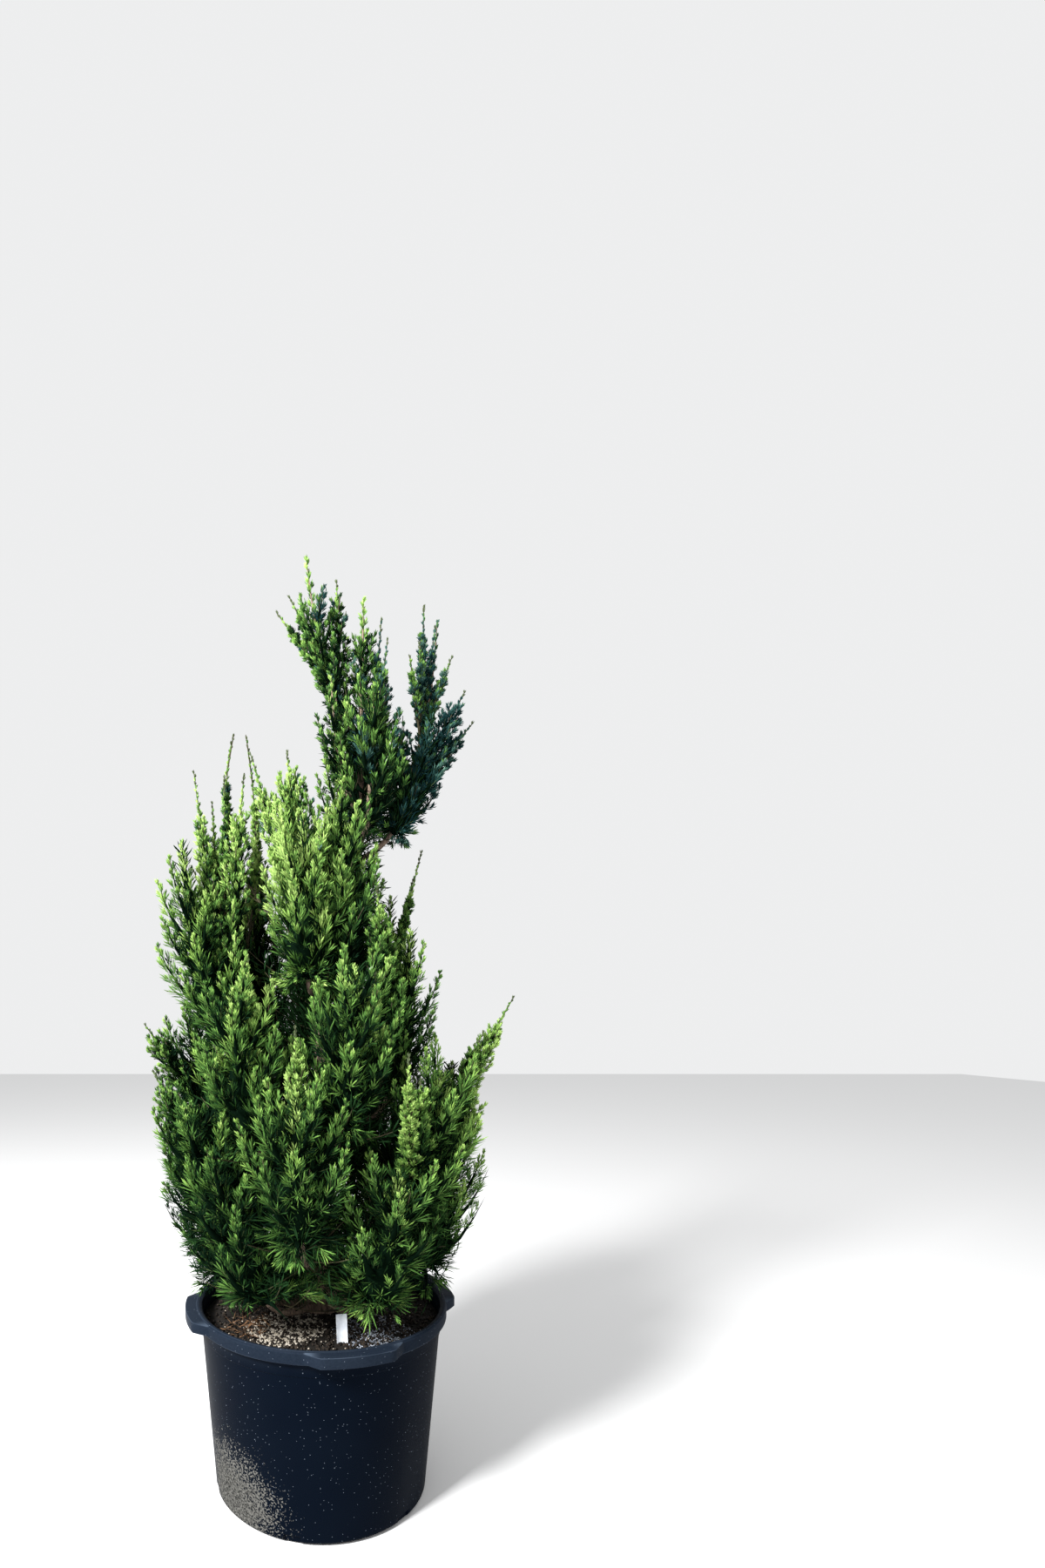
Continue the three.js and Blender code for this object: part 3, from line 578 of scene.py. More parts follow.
def bough_lines(masses, picked, gap):
    """From the trunk's centre at the root to the mass's foot, turning into its heading."""
    line = masses["line"][picked]
    start = trunk_centre(masses["root"][picked])
    into = unit(line[:, 1] - line[:, 0])
    end = line[:, 0] - into * gap
    span = np.linalg.norm(end - start, axis=1)
    knee = end - into * (BOUGH["knee"] * span)[:, None]
    return np.stack([start, knee, end], axis=1)


# Plumes.
def plume_set(line, half, t, spire):
    """Plumes along those lines, half a share of the spire's and slimmer towards its tip."""
    wide = np.clip(PLUME["half"] * half, PLUME["least"], PLUME["most"])
    sharp = np.full(len(line), PLUME["sharp"])
    return {"line": line, "half": wide * (1 - PLUME["slimmer"] * t), "t": t, "spire": spire,
            "sharp": sharp}


def shaded_set(start, tip, half, spire):
    """Plumes of one half width inside the crown."""
    none = np.zeros(len(start))
    return plume_set(with_knee(start, tip, INNER_KNEE), none + half / PLUME["half"], none, spire)


def mass_plumes(spires):
    """Plumes round every main spire by the golden angle. Each leaves the spire outwards, turns up
    at its knee and ends at a share of the spire's own radius from it."""
    rule = MASS_PLUME
    mains = np.flatnonzero(spires["main"])
    crowded = np.array([CROWDED.get(name, 1) for name in spires["name"][mains]])
    dense = spires["airy"][mains] * crowded / rule["spacing"]
    count = np.round(length_of(spires["line"][mains]) * dense).astype(int)
    run, j = counted(count)
    owner = mains[run]
    line, half, airy, seed = (spires[key][owner] for key in ("line", "half", "airy", "seed"))
    t = mix(rule["first"], rule["last"] * airy, (j + 0.5) / count[run])
    along = heading_at(line, t)
    radial = around(along, -golden_turn(j, seed, "spray_start"))
    radius = rule["reach"] * half * girth(t, rule["sharp"])
    ids = owner * rule["ids"] + j
    size = rule["length"] * half * (1 - rule["shorter"] * t)
    size = size * vary(ids, "plume_length", rule["vary_length"])
    aim = unit(rule["along"] * along + rule["up"] * UP + rule["splay"] * radial)
    start = point_at(line, np.maximum(0, t - rule["back"]))
    foot = point_at(line, t) + radial * (rule["out"] * radius)[:, None]
    knee = foot + aim * (rule["knee"] * size)[:, None]
    tip = foot + aim * size[:, None]
    made = plume_set(np.stack([start, knee, tip], axis=1), half, t, owner)
    made["half"] = made["half"] * vary(ids, "plume_half", rule["vary_half"])
    made["half"] = made["half"] * np.minimum(1, airy / rule["airy"])
    return made


def skirt_plumes(spires):
    """A ring of plumes round the foot of each main spire, out and down, longest on the lowest."""
    mains = np.flatnonzero(spires["main"] & ~np.isin(spires["name"], NO_SKIRT))
    run, j = counted(np.full(len(mains), SKIRT["count"]))
    owner = mains[run]
    line, half = spires["line"][owner], spires["half"][owner]
    at = np.full(len(owner), SKIRT["at"])
    along, start = heading_at(line, at), point_at(line, at)
    radial = around(along, golden_turn(j, owner, "skirt_start"))
    ids = owner * SKIRT["ids"] + j
    opened = np.radians(SKIRT["open"] + SKIRT["spread"] * swing(ids, "skirt_open"))
    low = rising(start[:, Z], SKIRT["low_from"], SKIRT["low_full"])
    size = mix(SKIRT["length"], SKIRT["longest"], low) * half
    size = size * vary(ids, "skirt_length", SKIRT["vary"])
    tip = start + turned(along, radial, opened) * size[:, None]
    tip[:, Z] = np.maximum(tip[:, Z], SKIRT["floor"])
    tip = within_rim(tip)
    out, up = SKIRT["knee"]
    knee = within_rim(mix(start, tip, out) + along * (up * size)[:, None])
    return plume_set(np.stack([start, knee, tip], axis=1), half, np.zeros(len(owner)), owner)


def bough_plumes(masses):
    """Shaded plumes along the outer part of every bough, upwards and to both sides."""
    picked = np.flatnonzero(masses["bough"])
    run, j = counted(np.full(len(picked), INNER["count"]))
    line = bough_lines(masses, picked, 0)[run]
    t = mix(INNER["first"], INNER["last"], (j + 0.5) / INNER["count"])
    along, start = heading_at(line, t), point_at(line, t)
    radial = around(along, golden_turn(j, run, "bough_start"))
    aim = unit(radial + INNER["up"] * UP + INNER["along"] * along)
    size = INNER["length"] * vary(run * INNER["ids"] + j, "bough_length", INNER["vary"])
    return shaded_set(start, start + aim * size[:, None], INNER["half"], picked[run])


def heart_plumes():
    """Shaded plumes round the trunk by the golden angle, shorter towards its tip."""
    count = round((HEART["high"] - HEART["low"]) / HEART["spacing"])
    j = np.arange(count)
    start = trunk_centre(mix(HEART["low"], HEART["high"], (j + 0.5) / count))
    short = rising(start[:, Z], HEART["full_to"], HEART["short_from"])
    size = mix(HEART["length_low"], HEART["length_high"], short)
    size = size * vary(j, "heart_length", HEART["vary"])
    radial = polar(j * GOLDEN, np.ones(count), 0)
    tip = start + unit(radial + HEART["up"] * UP) * size[:, None]
    return shaded_set(start, tip, HEART["half"], np.zeros(count, dtype=int))


def shoot_plumes(spires):
    """Plumes close along every long shoot, by the same rule as the sprays."""
    rule = SHOOT_PLUME
    shoots = np.flatnonzero(~spires["main"])
    count = np.round(length_of(spires["line"][shoots]) / rule["spacing"]).astype(int)
    run, j = counted(count)
    owner = shoots[run]
    line, half, seed = (spires[key][owner] for key in ("line", "half", "seed"))
    t = mix(rule["first"], rule["last"], (j + 0.5) / count[run])
    along, start = heading_at(line, t), point_at(line, t)
    radial = around(along, golden_turn(j, seed, "spray_start"))
    opened = np.radians(mix(rule["open_low"], rule["open_high"], t))
    radius = half * girth(t, SHOOT["taper"])
    outward = rule["share"] * radius / np.sin(opened)
    shortest = rule["shortest"] * half * (rule["short_from"] - t)
    size = np.clip(outward, shortest, rule["longest"] * half)
    tip = start + turned(along, radial, opened) * size[:, None]
    made = plume_set(with_knee(start, tip, rule["knee"]), half, t, owner)
    made["half"] = np.maximum(rule["least"], rule["half"] * half * (rule["half_from"] - t))
    return made


def leader_plumes(spires):
    """The upper part of every spire as a plume of its own, to its very tip."""
    line, half, main = spires["line"], spires["half"], spires["main"]
    knee, end = line[:, 1], line[:, 2]
    share = LEADER["from"]
    start = point_at(line, np.full(len(line), share))
    past = unit(end - knee) * LEADER["past"] * length_of(line)[:, None] * main[:, None]
    lines = np.stack([start, mix(knee, end, share), end + past], axis=1)
    made = plume_set(lines, half, np.ones(len(line)), np.arange(len(line)))
    made["half"] = LEADER["half"] * half
    made["sharp"] = np.where(main, PLUME["sharp"], LEADER["sharp"])
    return made


# Tufts and twiglets.
def grow_tufts(plumes):
    """Tufts along every plume by the golden angle, opened wide at its foot, lifted to the light
    and slimmer towards its tip."""
    span = length_of(plumes["line"])
    count = np.maximum(TUFT["fewest"], np.round(span / TUFT["spacing"])).astype(int)
    run, j = counted(count)
    s = mix(TUFT["first"], TUFT["last"], (j + 0.5) / count[run])
    line, half, sharp = (plumes[key][run] for key in ("line", "half", "sharp"))
    along = heading_at(line, s)
    radial = around(along, golden_turn(j, run, "tuft_start"))
    reach = half * girth(s, sharp)
    full = smoothstep(half / TUFT["full_at"])
    full *= np.where(sharp > 1, smoothstep(reach / TUFT["whip_at"]), 1)
    opened = mix(TUFT["open_low"], TUFT["open_high"], s) * mix(TUFT["whip_open"], 1, full)
    opened = np.radians(opened)
    aim = unit(turned(along, radial, opened) + UP * TUFT["lift"])
    sunk = PLUME["body"] * reach
    slim = (1 - TUFT["slim"] * s ** 3) * full
    size = np.clip((reach - sunk) / np.sin(opened), TUFT["shortest"] * slim, TUFT["longest"])
    size = size * vary(np.arange(len(run)), "tuft_size", TUFT["vary"])
    root = point_at(line, s) + radial * sunk[:, None]
    return {"from": root, "aim": aim, "size": size, "s": s, "plume": run, "radial": radial,
            "slim": full}


def cells_of(place, low):
    """The cell of the grid that each point lies in."""
    return tuple(np.floor((place - low) / CELL["size"]).astype(int).T)


def shelter(place):
    """The share of steps outwards and up from each point that lie in cells held by other points."""
    ray = unit(unit(out_of_trunk(place)) + CELL["up"] * UP)
    reach = max(CELL["steps"]) + CELL["size"]
    low = place.min(axis=0) - CELL["size"] - reach
    held = np.zeros(np.ceil((place.max(axis=0) + reach - low) / CELL["size"]).astype(int) + 1)
    held[cells_of(place, low)] = 1
    return np.mean([held[cells_of(place + ray * step, low)] for step in CELL["steps"]], axis=0)


def before_trunk(place):
    """Whether points stand in front of the bare length of trunk that shows low in the head."""
    x, z, half_width, half_height = WINDOW
    beside = np.abs(place[:, X] - x) / half_width
    above = np.abs(place[:, Z] - z) / half_height
    return (np.maximum(beside, above) < 1) & (place[:, Y] < 0)


def raised_fringe(place):
    """How much higher the fringe ends where the mix shows, at the front left of the middle."""
    beside = np.abs(place[:, X] - RIM["raised_at"]) / RIM["raised_half"]
    forward = rising(place[:, Y], RIM["raised_from"], -RIM["reach"])
    return RIM["raised"] * smoothstep(RIM["raised_edge"] - beside) * forward


def within_rim(place):
    """Draws points in to the room that the container's rim leaves, which widens with height."""
    room = RIM["reach"] + RIM["slope"] * np.maximum(0, place[:, Z] - RIM["foot"])
    room = np.where(place[:, Z] > RIM["to"], np.inf, room)
    share = np.minimum(1, room / np.hypot(place[:, X], place[:, Y]))
    return place * np.stack([share, share, np.ones(len(share))], axis=1)


def past_rim(place):
    """How far points stand out over the room that the container's rim leaves."""
    return np.linalg.norm(place - within_rim(place), axis=1)


def thinned(tufts):
    """Keeps every tuft at the crown's surface and fewer, coarser ones where it is sheltered."""
    end = tufts["from"] + tufts["aim"] * tufts["size"][:, None]
    sheltered = shelter(end)
    inside = rising(sheltered, CELL["open"], CELL["full"])
    inside = inside * rising(end[:, Z], CELL["fringe"], CELL["above_fringe"])
    keep = scatter(np.arange(len(inside)), "thinning") < mix(1, CELL["kept"], inside)
    keep &= end[:, Z] > TUFT["lowest"] + raised_fringe(end)
    keep &= past_rim(end) < RIM["spill"]
    keep &= ~before_trunk(mix(tufts["from"], end, WINDOW_SHARE))
    tufts["sheltered"] = sheltered
    tufts["outward"] = (unit(out_of_trunk(tufts["from"])) * tufts["radial"]).sum(axis=1)
    tufts["coarse"] = 1 + CELL["coarser"] * inside
    hanging = rising(tufts["aim"][:, Z], FAN["steep"], FAN["flat"])
    tufts["fan"] = rising(end[:, Z], FAN["high"], FAN["low"]) * hanging
    return {key: values[keep] for key, values in tufts.items()}


def grow_twiglets(tufts):
    """Short twiglets close along every tuft's stalk by the golden angle, closing towards its end.
    Those of a low tuft that hangs out or down are longer, as in a fan."""
    rule = TWIGLET
    k = np.arange(rule["count"])
    u = mix(rule["first"], 1.0, (k + 0.5) / rule["count"])[None]
    ids = np.arange(len(tufts["size"]))[:, None] * rule["count"] + k
    aim, s, slim, length = (tufts[key] for key in ("aim", "s", "slim", "size"))
    radial = around(aim[:, None], golden_turn(k, ids[:, :1], "twiglet_start"))
    opened = mix(rule["open_low"], rule["open_high"], u)
    opened = np.radians(opened + rule["open_swing"] * swing(ids, "twiglet_open"))
    opened = opened * mix(rule["whip_open"], 1, slim)[:, None]
    opened = opened * (1 - rule["closing"] * s ** 2)[:, None]
    ray = unit(turned(aim[:, None], radial, opened) + UP * rule["lift"])
    least = rule["least"] * mix(rule["whip_least"], 1, slim)
    size = np.clip(rule["share"] * length, least, rule["most"])
    size = size * (1 + FAN["longer"] * tufts["fan"]) * (1 - rule["shorter"] * s ** 3)
    size = size[:, None] * mix(rule["low_size"], rule["high_size"], u)
    size = size * vary(ids, "twiglet_size", rule["vary"])
    stalk = np.maximum(length - STALK["short"] * size[:, -1], STALK["least"] * length)
    start = tufts["from"][:, None] + aim[:, None] * (stalk[:, None] * u)[..., None]
    return start, start + ray * size[..., None], u


# Surfaces.
def wedges(start, end, radius):
    """Slim slivers of four faces: a point at the start and three corners staggered to the end."""
    along = unit(end - start)
    roll = 2 * np.pi * scatter(np.arange(len(start)), "wedge_roll")
    corners = [start]
    for step, (share, wide) in enumerate(WEDGE):
        ray = around(along, roll + step * 2 * np.pi / len(WEDGE))
        corners.append(mix(start, end, share) + ray * (wide * radius)[:, None])
    return repeated(np.stack(corners, axis=1), WEDGE_FACES)


def repeated(points, pattern):
    """The points of equal shapes (n, m, 3) in a row, and the faces of one shape for each."""
    count, per = points.shape[:2]
    faces = np.arange(count)[:, None, None] * per + pattern[None]
    return points.reshape(-1, 3), faces.reshape(-1, 3)


def grid_faces(rows, columns):
    """Quads of a grid of points whose last column joins its first."""
    r, c = np.meshgrid(np.arange(rows - 1), np.arange(columns), indexing="ij")
    here, beside = r * columns + c, r * columns + (c + 1) % columns
    return np.stack([here, beside, beside + columns, here + columns], axis=-1).reshape(-1, 4)


def capped_faces(rings, sides):
    """Triangles of rings of points with a middle point after them for the foot and for the tip."""
    quads = grid_faces(rings, sides)
    here = np.arange(sides)
    beside = (here + 1) % sides
    last = (rings - 1) * sides
    foot = np.full(sides, rings * sides)
    low = np.stack([foot, beside, here], axis=-1)
    high = np.stack([foot + 1, last + here, last + beside], axis=-1)
    return np.concatenate([quads[:, [0, 1, 2]], quads[:, [0, 2, 3]], low, high])


def tubes(line, radius_low, radius_high, sides, rings):
    """Tapering tubes along each line, with a closed point at both ends."""
    t = np.linspace(0, 1, rings)[None].repeat(len(line), axis=0)
    centre = bezier(line, t)
    radii = (radius_low, radius_high)
    low, high = (np.broadcast_to(radius, len(line))[:, None] for radius in radii)
    ray = around(heading(line, t)[:, :, None], np.linspace(0, 2 * np.pi, sides, endpoint=False))
    body = centre[:, :, None] + ray * mix(low, high, t)[..., None, None]
    body = body.reshape(len(line), -1, 3)
    points = np.concatenate([body, centre[:, :1], centre[:, -1:]], axis=1)
    return repeated(points, capped_faces(rings, sides))


def lumpy_bodies(line, half, sharp, sides, rings):
    """Closed bodies along each line with the radius of its girth, roughened by a share of it."""
    points, faces = tubes(line, half, half, sides, rings)
    t = np.linspace(0, 1, rings)
    centre = bezier(line, t[None].repeat(len(line), axis=0))[:, :, None]
    body = points.reshape(len(line), -1, 3)
    ring = body[:, :-2].reshape(len(line), rings, sides, 3)
    ids = np.arange(ring[..., 0].size).reshape(ring.shape[:-1])
    size = girth(t, sharp)[None, :, None] * vary(ids, "lumps", CORE["lumps"])
    ring = centre + (ring - centre) * size[..., None]
    body[:, :-2] = ring.reshape(len(line), -1, 3)
    return body.reshape(-1, 3), faces


def gathered(parts):
    """Several sets of points and faces as one."""
    points, faces, first = [], [], 0
    for more, pattern in parts:
        points.append(more)
        faces.append(pattern + first)
        first += len(more)
    return np.concatenate(points), np.concatenate(faces)


def add_piece(name, points, faces, material, smooth=True):
    """A mesh of whole arrays of points, in millimetres, and faces, which rides on the plant."""
    mesh = bpy.data.meshes.new(name)
    mesh.vertices.add(len(points))
    mesh.vertices.foreach_set("co", (points * MM).astype(np.float32).ravel())
    mesh.loops.add(faces.size)
    mesh.loops.foreach_set("vertex_index", faces.astype(np.int32).ravel())
    mesh.polygons.add(len(faces))
    starts = np.arange(0, faces.size, faces.shape[1], dtype=np.int32)
    mesh.polygons.foreach_set("loop_start", starts)
    mesh.polygons.foreach_set("use_smooth", np.full(len(faces), smooth))
    mesh.update(calc_edges=True)
    mesh.materials.append(material)
    piece = bpy.data.objects.new(name, mesh)
    bpy.context.collection.objects.link(piece)
    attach(piece, "root")
    return piece


def close_seams(piece):
    """Closes a piece's seams and poles by merging its doubled points."""
    work = bmesh.new()
    work.from_mesh(piece.data)
    bmesh.ops.remove_doubles(work, verts=work.verts, dist=SEAM * MM)
    bmesh.ops.recalc_face_normals(work, faces=work.faces)
    work.to_mesh(piece.data)
    work.free()


def add_sprays(name, start, end, radius, material):
    """Wedges as one or more pieces, split evenly so that none has more than MOST_TRIANGLES
    triangles.
    """
    radius = np.broadcast_to(radius, len(start))
    count = int(np.ceil(len(start) * len(WEDGE_FACES) / MOST_TRIANGLES))
    made = []
    for i, part in enumerate(np.array_split(np.arange(len(start)), count)):
        points, faces = wedges(start[part], end[part], radius[part])
        made.append(add_piece(f"{name}_{i + 1}", points, faces, material, smooth=False))
    return made


# Nodes of the materials.
def new_material(name):
    """A material with its node tree and its shader."""
    material = bpy.data.materials.new(name)
    material.use_nodes = True
    tree = material.node_tree
    return material, tree, tree.nodes["Principled BSDF"]


def object_place(tree):
    """The place on the object, in metres."""
    return tree.nodes.new("ShaderNodeTexCoord").outputs["Object"]


def feed(tree, value, socket):
    """Sets a socket to a plain value, or links it to another socket."""
    if isinstance(value, bpy.types.NodeSocket):
        tree.links.new(value, socket)
    else:
        socket.default_value = value


def separate(tree, vector, part):
    """One part, X, Y or Z, of a vector."""
    node = tree.nodes.new("ShaderNodeSeparateXYZ")
    tree.links.new(vector, node.inputs["Vector"])
    return node.outputs[part]


def stretched(tree, place, scale):
    """The place multiplied by a scale for each axis."""
    node = tree.nodes.new("ShaderNodeMapping")
    node.inputs["Scale"].default_value = scale
    tree.links.new(place, node.inputs["Vector"])
    return node.outputs["Vector"]


def noise(tree, place, scale, detail):
    """Noise from 0 to 1 of that scale and detail."""
    node = tree.nodes.new("ShaderNodeTexNoise")
    node.inputs["Scale"].default_value = scale
    node.inputs["Detail"].default_value = detail
    tree.links.new(place, node.inputs["Vector"])
    return node.outputs["Fac"]


def worked(tree, operation, a, b):
    """A math node of two numbers or sockets."""
    node = tree.nodes.new("ShaderNodeMath")
    node.operation = operation
    for socket, value in zip(node.inputs, (a, b)):
        feed(tree, value, socket)
    return node.outputs["Value"]


def between(tree, share, low, high):
    """low + (high - low) share, of numbers."""
    return worked(tree, "ADD", worked(tree, "MULTIPLY", share, high - low), low)


def centred(tree, value, strength):
    """(value - 0.5) strength."""
    return worked(tree, "MULTIPLY", worked(tree, "SUBTRACT", value, 0.5), strength)


def ramp(tree, value, low, high):
    """0 up to low, 1 from high on, smooth between them."""
    node = tree.nodes.new("ShaderNodeMapRange")
    node.interpolation_type = "SMOOTHSTEP"
    node.inputs["From Min"].default_value = low
    node.inputs["From Max"].default_value = high
    tree.links.new(value, node.inputs["Value"])
    return node.outputs["Result"]


def blend(tree, share, low, high):
    """Mixes two colours, each a socket or plain, by a share."""
    node = tree.nodes.new("ShaderNodeMix")
    node.data_type = "RGBA"
    tree.links.new(share, node.inputs["Factor"])
    for socket, value in ((MIX_FIRST, low), (MIX_SECOND, high)):
        colour = value if isinstance(value, bpy.types.NodeSocket) else (*value, 1)
        feed(tree, colour, node.inputs[socket])
    return node.outputs[MIX_RESULT]


def specks(tree, place, scale, size, bare):
    """Small spots in random cells: 1 within the size of a cell's point, 0 in the bare cells."""
    cells = tree.nodes.new("ShaderNodeTexVoronoi")
    cells.inputs["Scale"].default_value = 1
    tree.links.new(stretched(tree, place, scale), cells.inputs["Vector"])
    spot = worked(tree, "LESS_THAN", cells.outputs["Distance"], size)
    chosen = worked(tree, "GREATER_THAN", separate(tree, cells.outputs["Color"], "X"), bare)
    return worked(tree, "MULTIPLY", spot, chosen)


def add_bump(tree, shader, height, strength, depth):
    """Raises the shader's surface by a height that varies over it."""
    bump = tree.nodes.new("ShaderNodeBump")
    bump.inputs["Strength"].default_value = strength
    bump.inputs["Distance"].default_value = depth
    tree.links.new(height, bump.inputs["Height"])
    tree.links.new(bump.outputs["Normal"], shader.inputs["Normal"])


# Materials.
def plain(name, colour, roughness, gloss):
    """One colour, with a soft gloss."""
    material, _, shader = new_material(name)
    shader.inputs["Base Color"].default_value = (*colour, 1)
    shader.inputs["Roughness"].default_value = roughness
    shader.inputs["Specular IOR Level"].default_value = gloss
    return material


def listed_plain(name):
    """A plain material from the list."""
    return plain(name, *PLAIN[name])


def mottled(name):
    """Two colours mixed by fine noise."""
    dark, pale, scale, roughness = MOTTLED[name]
    material, tree, shader = new_material(name)
    grain = noise(tree, object_place(tree), scale, MOTTLE["detail"])
    share = ramp(tree, grain, MOTTLE["from"], MOTTLE["to"])
    tree.links.new(blend(tree, share, dark, pale), shader.inputs["Base Color"])
    shader.inputs["Roughness"].default_value = roughness
    shader.inputs["Specular IOR Level"].default_value = MOTTLE["gloss"]
    return material


def bark_material():
    """Brown strips drawn out along the height by stretched noise, which also raises them."""
    material, tree, shader = new_material("juniper_bark")
    shader.inputs["Roughness"].default_value = BARK["roughness"]
    grain = noise(tree, stretched(tree, object_place(tree), BARK["stretch"]), 1.0, BARK["detail"])
    colours = tree.nodes.new("ShaderNodeValToRGB")
    ends = ((BARK["dark"], BARK["from"]), (BARK["pale"], BARK["to"]))
    for element, (colour, position) in zip(colours.color_ramp.elements, ends):
        element.color = (*colour, 1)
        element.position = position
    tree.links.new(grain, colours.inputs["Fac"])
    tree.links.new(colours.outputs["Color"], shader.inputs["Base Color"])
    add_bump(tree, shader, grain, BARK["bump"], BARK["depth"])
    return material


def container_material():
    """Satin black, its cold tint a painted reflection of the sky; dust specks; a paler lip, partly
    dust and partly painted sheen, with edges partly scuffed and partly painted highlight; and dried
    mud.
    """
    material, tree, shader = new_material("container_black")
    place = object_place(tree)
    cloud = noise(tree, place, *BLACK["cloud"])
    grain = noise(tree, place, *BLACK["grain"])
    body = blend(tree, cloud, BLACK["low"], BLACK["high"])
    body = lip_colour(tree, body, place, cloud, grain)
    dust = dust_share(tree, place)
    body = blend(tree, dust, body, DUST_LOOK["colour"])
    mud = mud_share(tree, place, grain)
    mud_grain = ramp(tree, grain, MUD["grain_from"], MUD["grain_to"])
    body = blend(tree, mud, body, blend(tree, mud_grain, MUD["low"], MUD["high"]))
    tree.links.new(body, shader.inputs["Base Color"])

    matt = worked(tree, "MAXIMUM", mud, dust)
    rough = between(tree, matt, BLACK["smooth"], BLACK["matt"])
    tree.links.new(rough, shader.inputs["Roughness"])
    shader.inputs["Specular IOR Level"].default_value = BLACK["gloss"]
    shader.inputs["IOR"].default_value = BLACK["ior"]
    relief = noise(tree, place, *BLACK["relief"])
    relief = worked(tree, "ADD", mud, worked(tree, "MULTIPLY", relief, BLACK["relief_share"]))
    add_bump(tree, shader, relief, BLACK["bump"], BLACK["depth"])
    return material


def lip_colour(tree, body, place, cloud, grain):
    """The body's colour with the paler lip, partly dust and partly painted sheen, and its edges,
    partly scuffed and partly painted highlight, where the cloud lets them show.
    """
    lip = ramp(tree, separate(tree, place, "Z"), LIP["from"], LIP["to"])
    body = blend(tree, lip, body, blend(tree, grain, LIP["low"], LIP["high"]))
    edge = tree.nodes.new("ShaderNodeAttribute")
    edge.attribute_name = "wear_and_highlight"
    patchy = ramp(tree, cloud, LIP["worn_and_lit_from"], LIP["worn_and_lit_to"])
    return blend(tree, worked(tree, "MULTIPLY", edge.outputs["Fac"], patchy), body, LIP["worn_and_lit"])


def dust_share(tree, place):
    """How dusty the surface is: the most of three sizes of specks."""
    small, large, dashes = (specks(tree, place, *row) for row in DUST)
    dust = worked(tree, "MAXIMUM", worked(tree, "MAXIMUM", small, large), dashes)
    return worked(tree, "MULTIPLY", dust, DUST_LOOK["strength"])


def mud_share(tree, place, grain):
    """Where the mud is: near its centre, with an edge broken up by noise."""
    away = tree.nodes.new("ShaderNodeVectorMath")
    away.operation = "DISTANCE"
    away.inputs[1].default_value = MUD["centre"]
    tree.links.new(place, away.inputs[0])
    distance = worked(tree, "DIVIDE", away.outputs["Value"], MUD["reach"])
    near = worked(tree, "SUBTRACT", 1.0, distance)
    rough = centred(tree, grain, MUD["rough"])
    blotch = centred(tree, noise(tree, place, *MUD["blotches"]), MUD["blotch"])
    crust = worked(tree, "ADD", near, worked(tree, "ADD", rough, blotch))
    return ramp(tree, crust, MUD["from"], MUD["to"])


# Foliage.
def slender_share(tufts, plumes, spires):
    """How far each tuft is on a slender shoot that stands at the front, low on the plant."""
    place = tufts["from"]
    own = plumes["spire"][tufts["plume"]]
    slender = rising(spires["half"][own], SLENDER["half"], SLENDER["full_half"])
    slender = slender * rising(place[:, Z], SLENDER["top"], SLENDER["full_top"])
    front = (place[:, Y] < 0) & (np.abs(place[:, X]) < SLENDER["aside"])
    return slender * (front & ~spires["main"][own])


def tuft_light(tufts, plumes, spires):
    """The light on each tuft: more towards the plume's end, upwards and to the left, and less
    inside the crown."""
    place, plume = tufts["from"], tufts["plume"]
    own = plumes["spire"][plume]
    terms = {
        "plume_end": tufts["s"],
        "standing": ~spires["main"][own] | (plumes["t"][plume] == 1),
        "outward": tufts["outward"],
        "whip": 1 - tufts["slim"],
        "rightward": tufts["radial"][:, X],
        "spire_end": plumes["t"][plume] - 0.5,
        "slender": slender_share(tufts, plumes, spires),
        "wing": spires["name"][own] == "wing_right",
        "sheltered": tufts["sheltered"],
    }
    light = LIGHT["base"] + sum(LIGHT[key] * value for key, value in terms.items())
    light += LIGHT_SWING["tuft"] * swing(np.arange(len(own)), "tuft_light")
    light += LIGHT_SWING["plume"] * swing(plume, "plume_light")
    light += LIGHT_SWING["spire"] * swing(own, "spire_light")
    for weight, ramps in ZONES:
        shares = [rising(place[:, axis], start, full) for axis, start, full in ramps]
        light += weight * np.prod(shares, axis=0)
    return light


def bluish_tufts(tufts, plumes, spires):
    """Whether a tuft gets painted bluish shade: on the wing, the head's back, and most on its
    right.
    """
    place, plume = tufts["from"], tufts["plume"]
    head = rising(place[:, Z], *BLUISH["height"])
    share = head * mix(BLUISH["share"], 1, rising(place[:, X], *BLUISH["side"]))
    named = np.isin(spires["name"][plumes["spire"][plume]], BLUISH["masses"])
    return named | (scatter(plume, "blue") < share)


def bare_whips(tufts, plumes):
    """Whether each tuft is on the bare end of a whip."""
    slim = (plumes["sharp"][tufts["plume"]] > 1) & (tufts["slim"] < BARE["slim"])
    ids = np.arange(len(slim))
    return slim & (tufts["s"] > BARE["from"] + BARE["swing"] * swing(ids, "whip"))


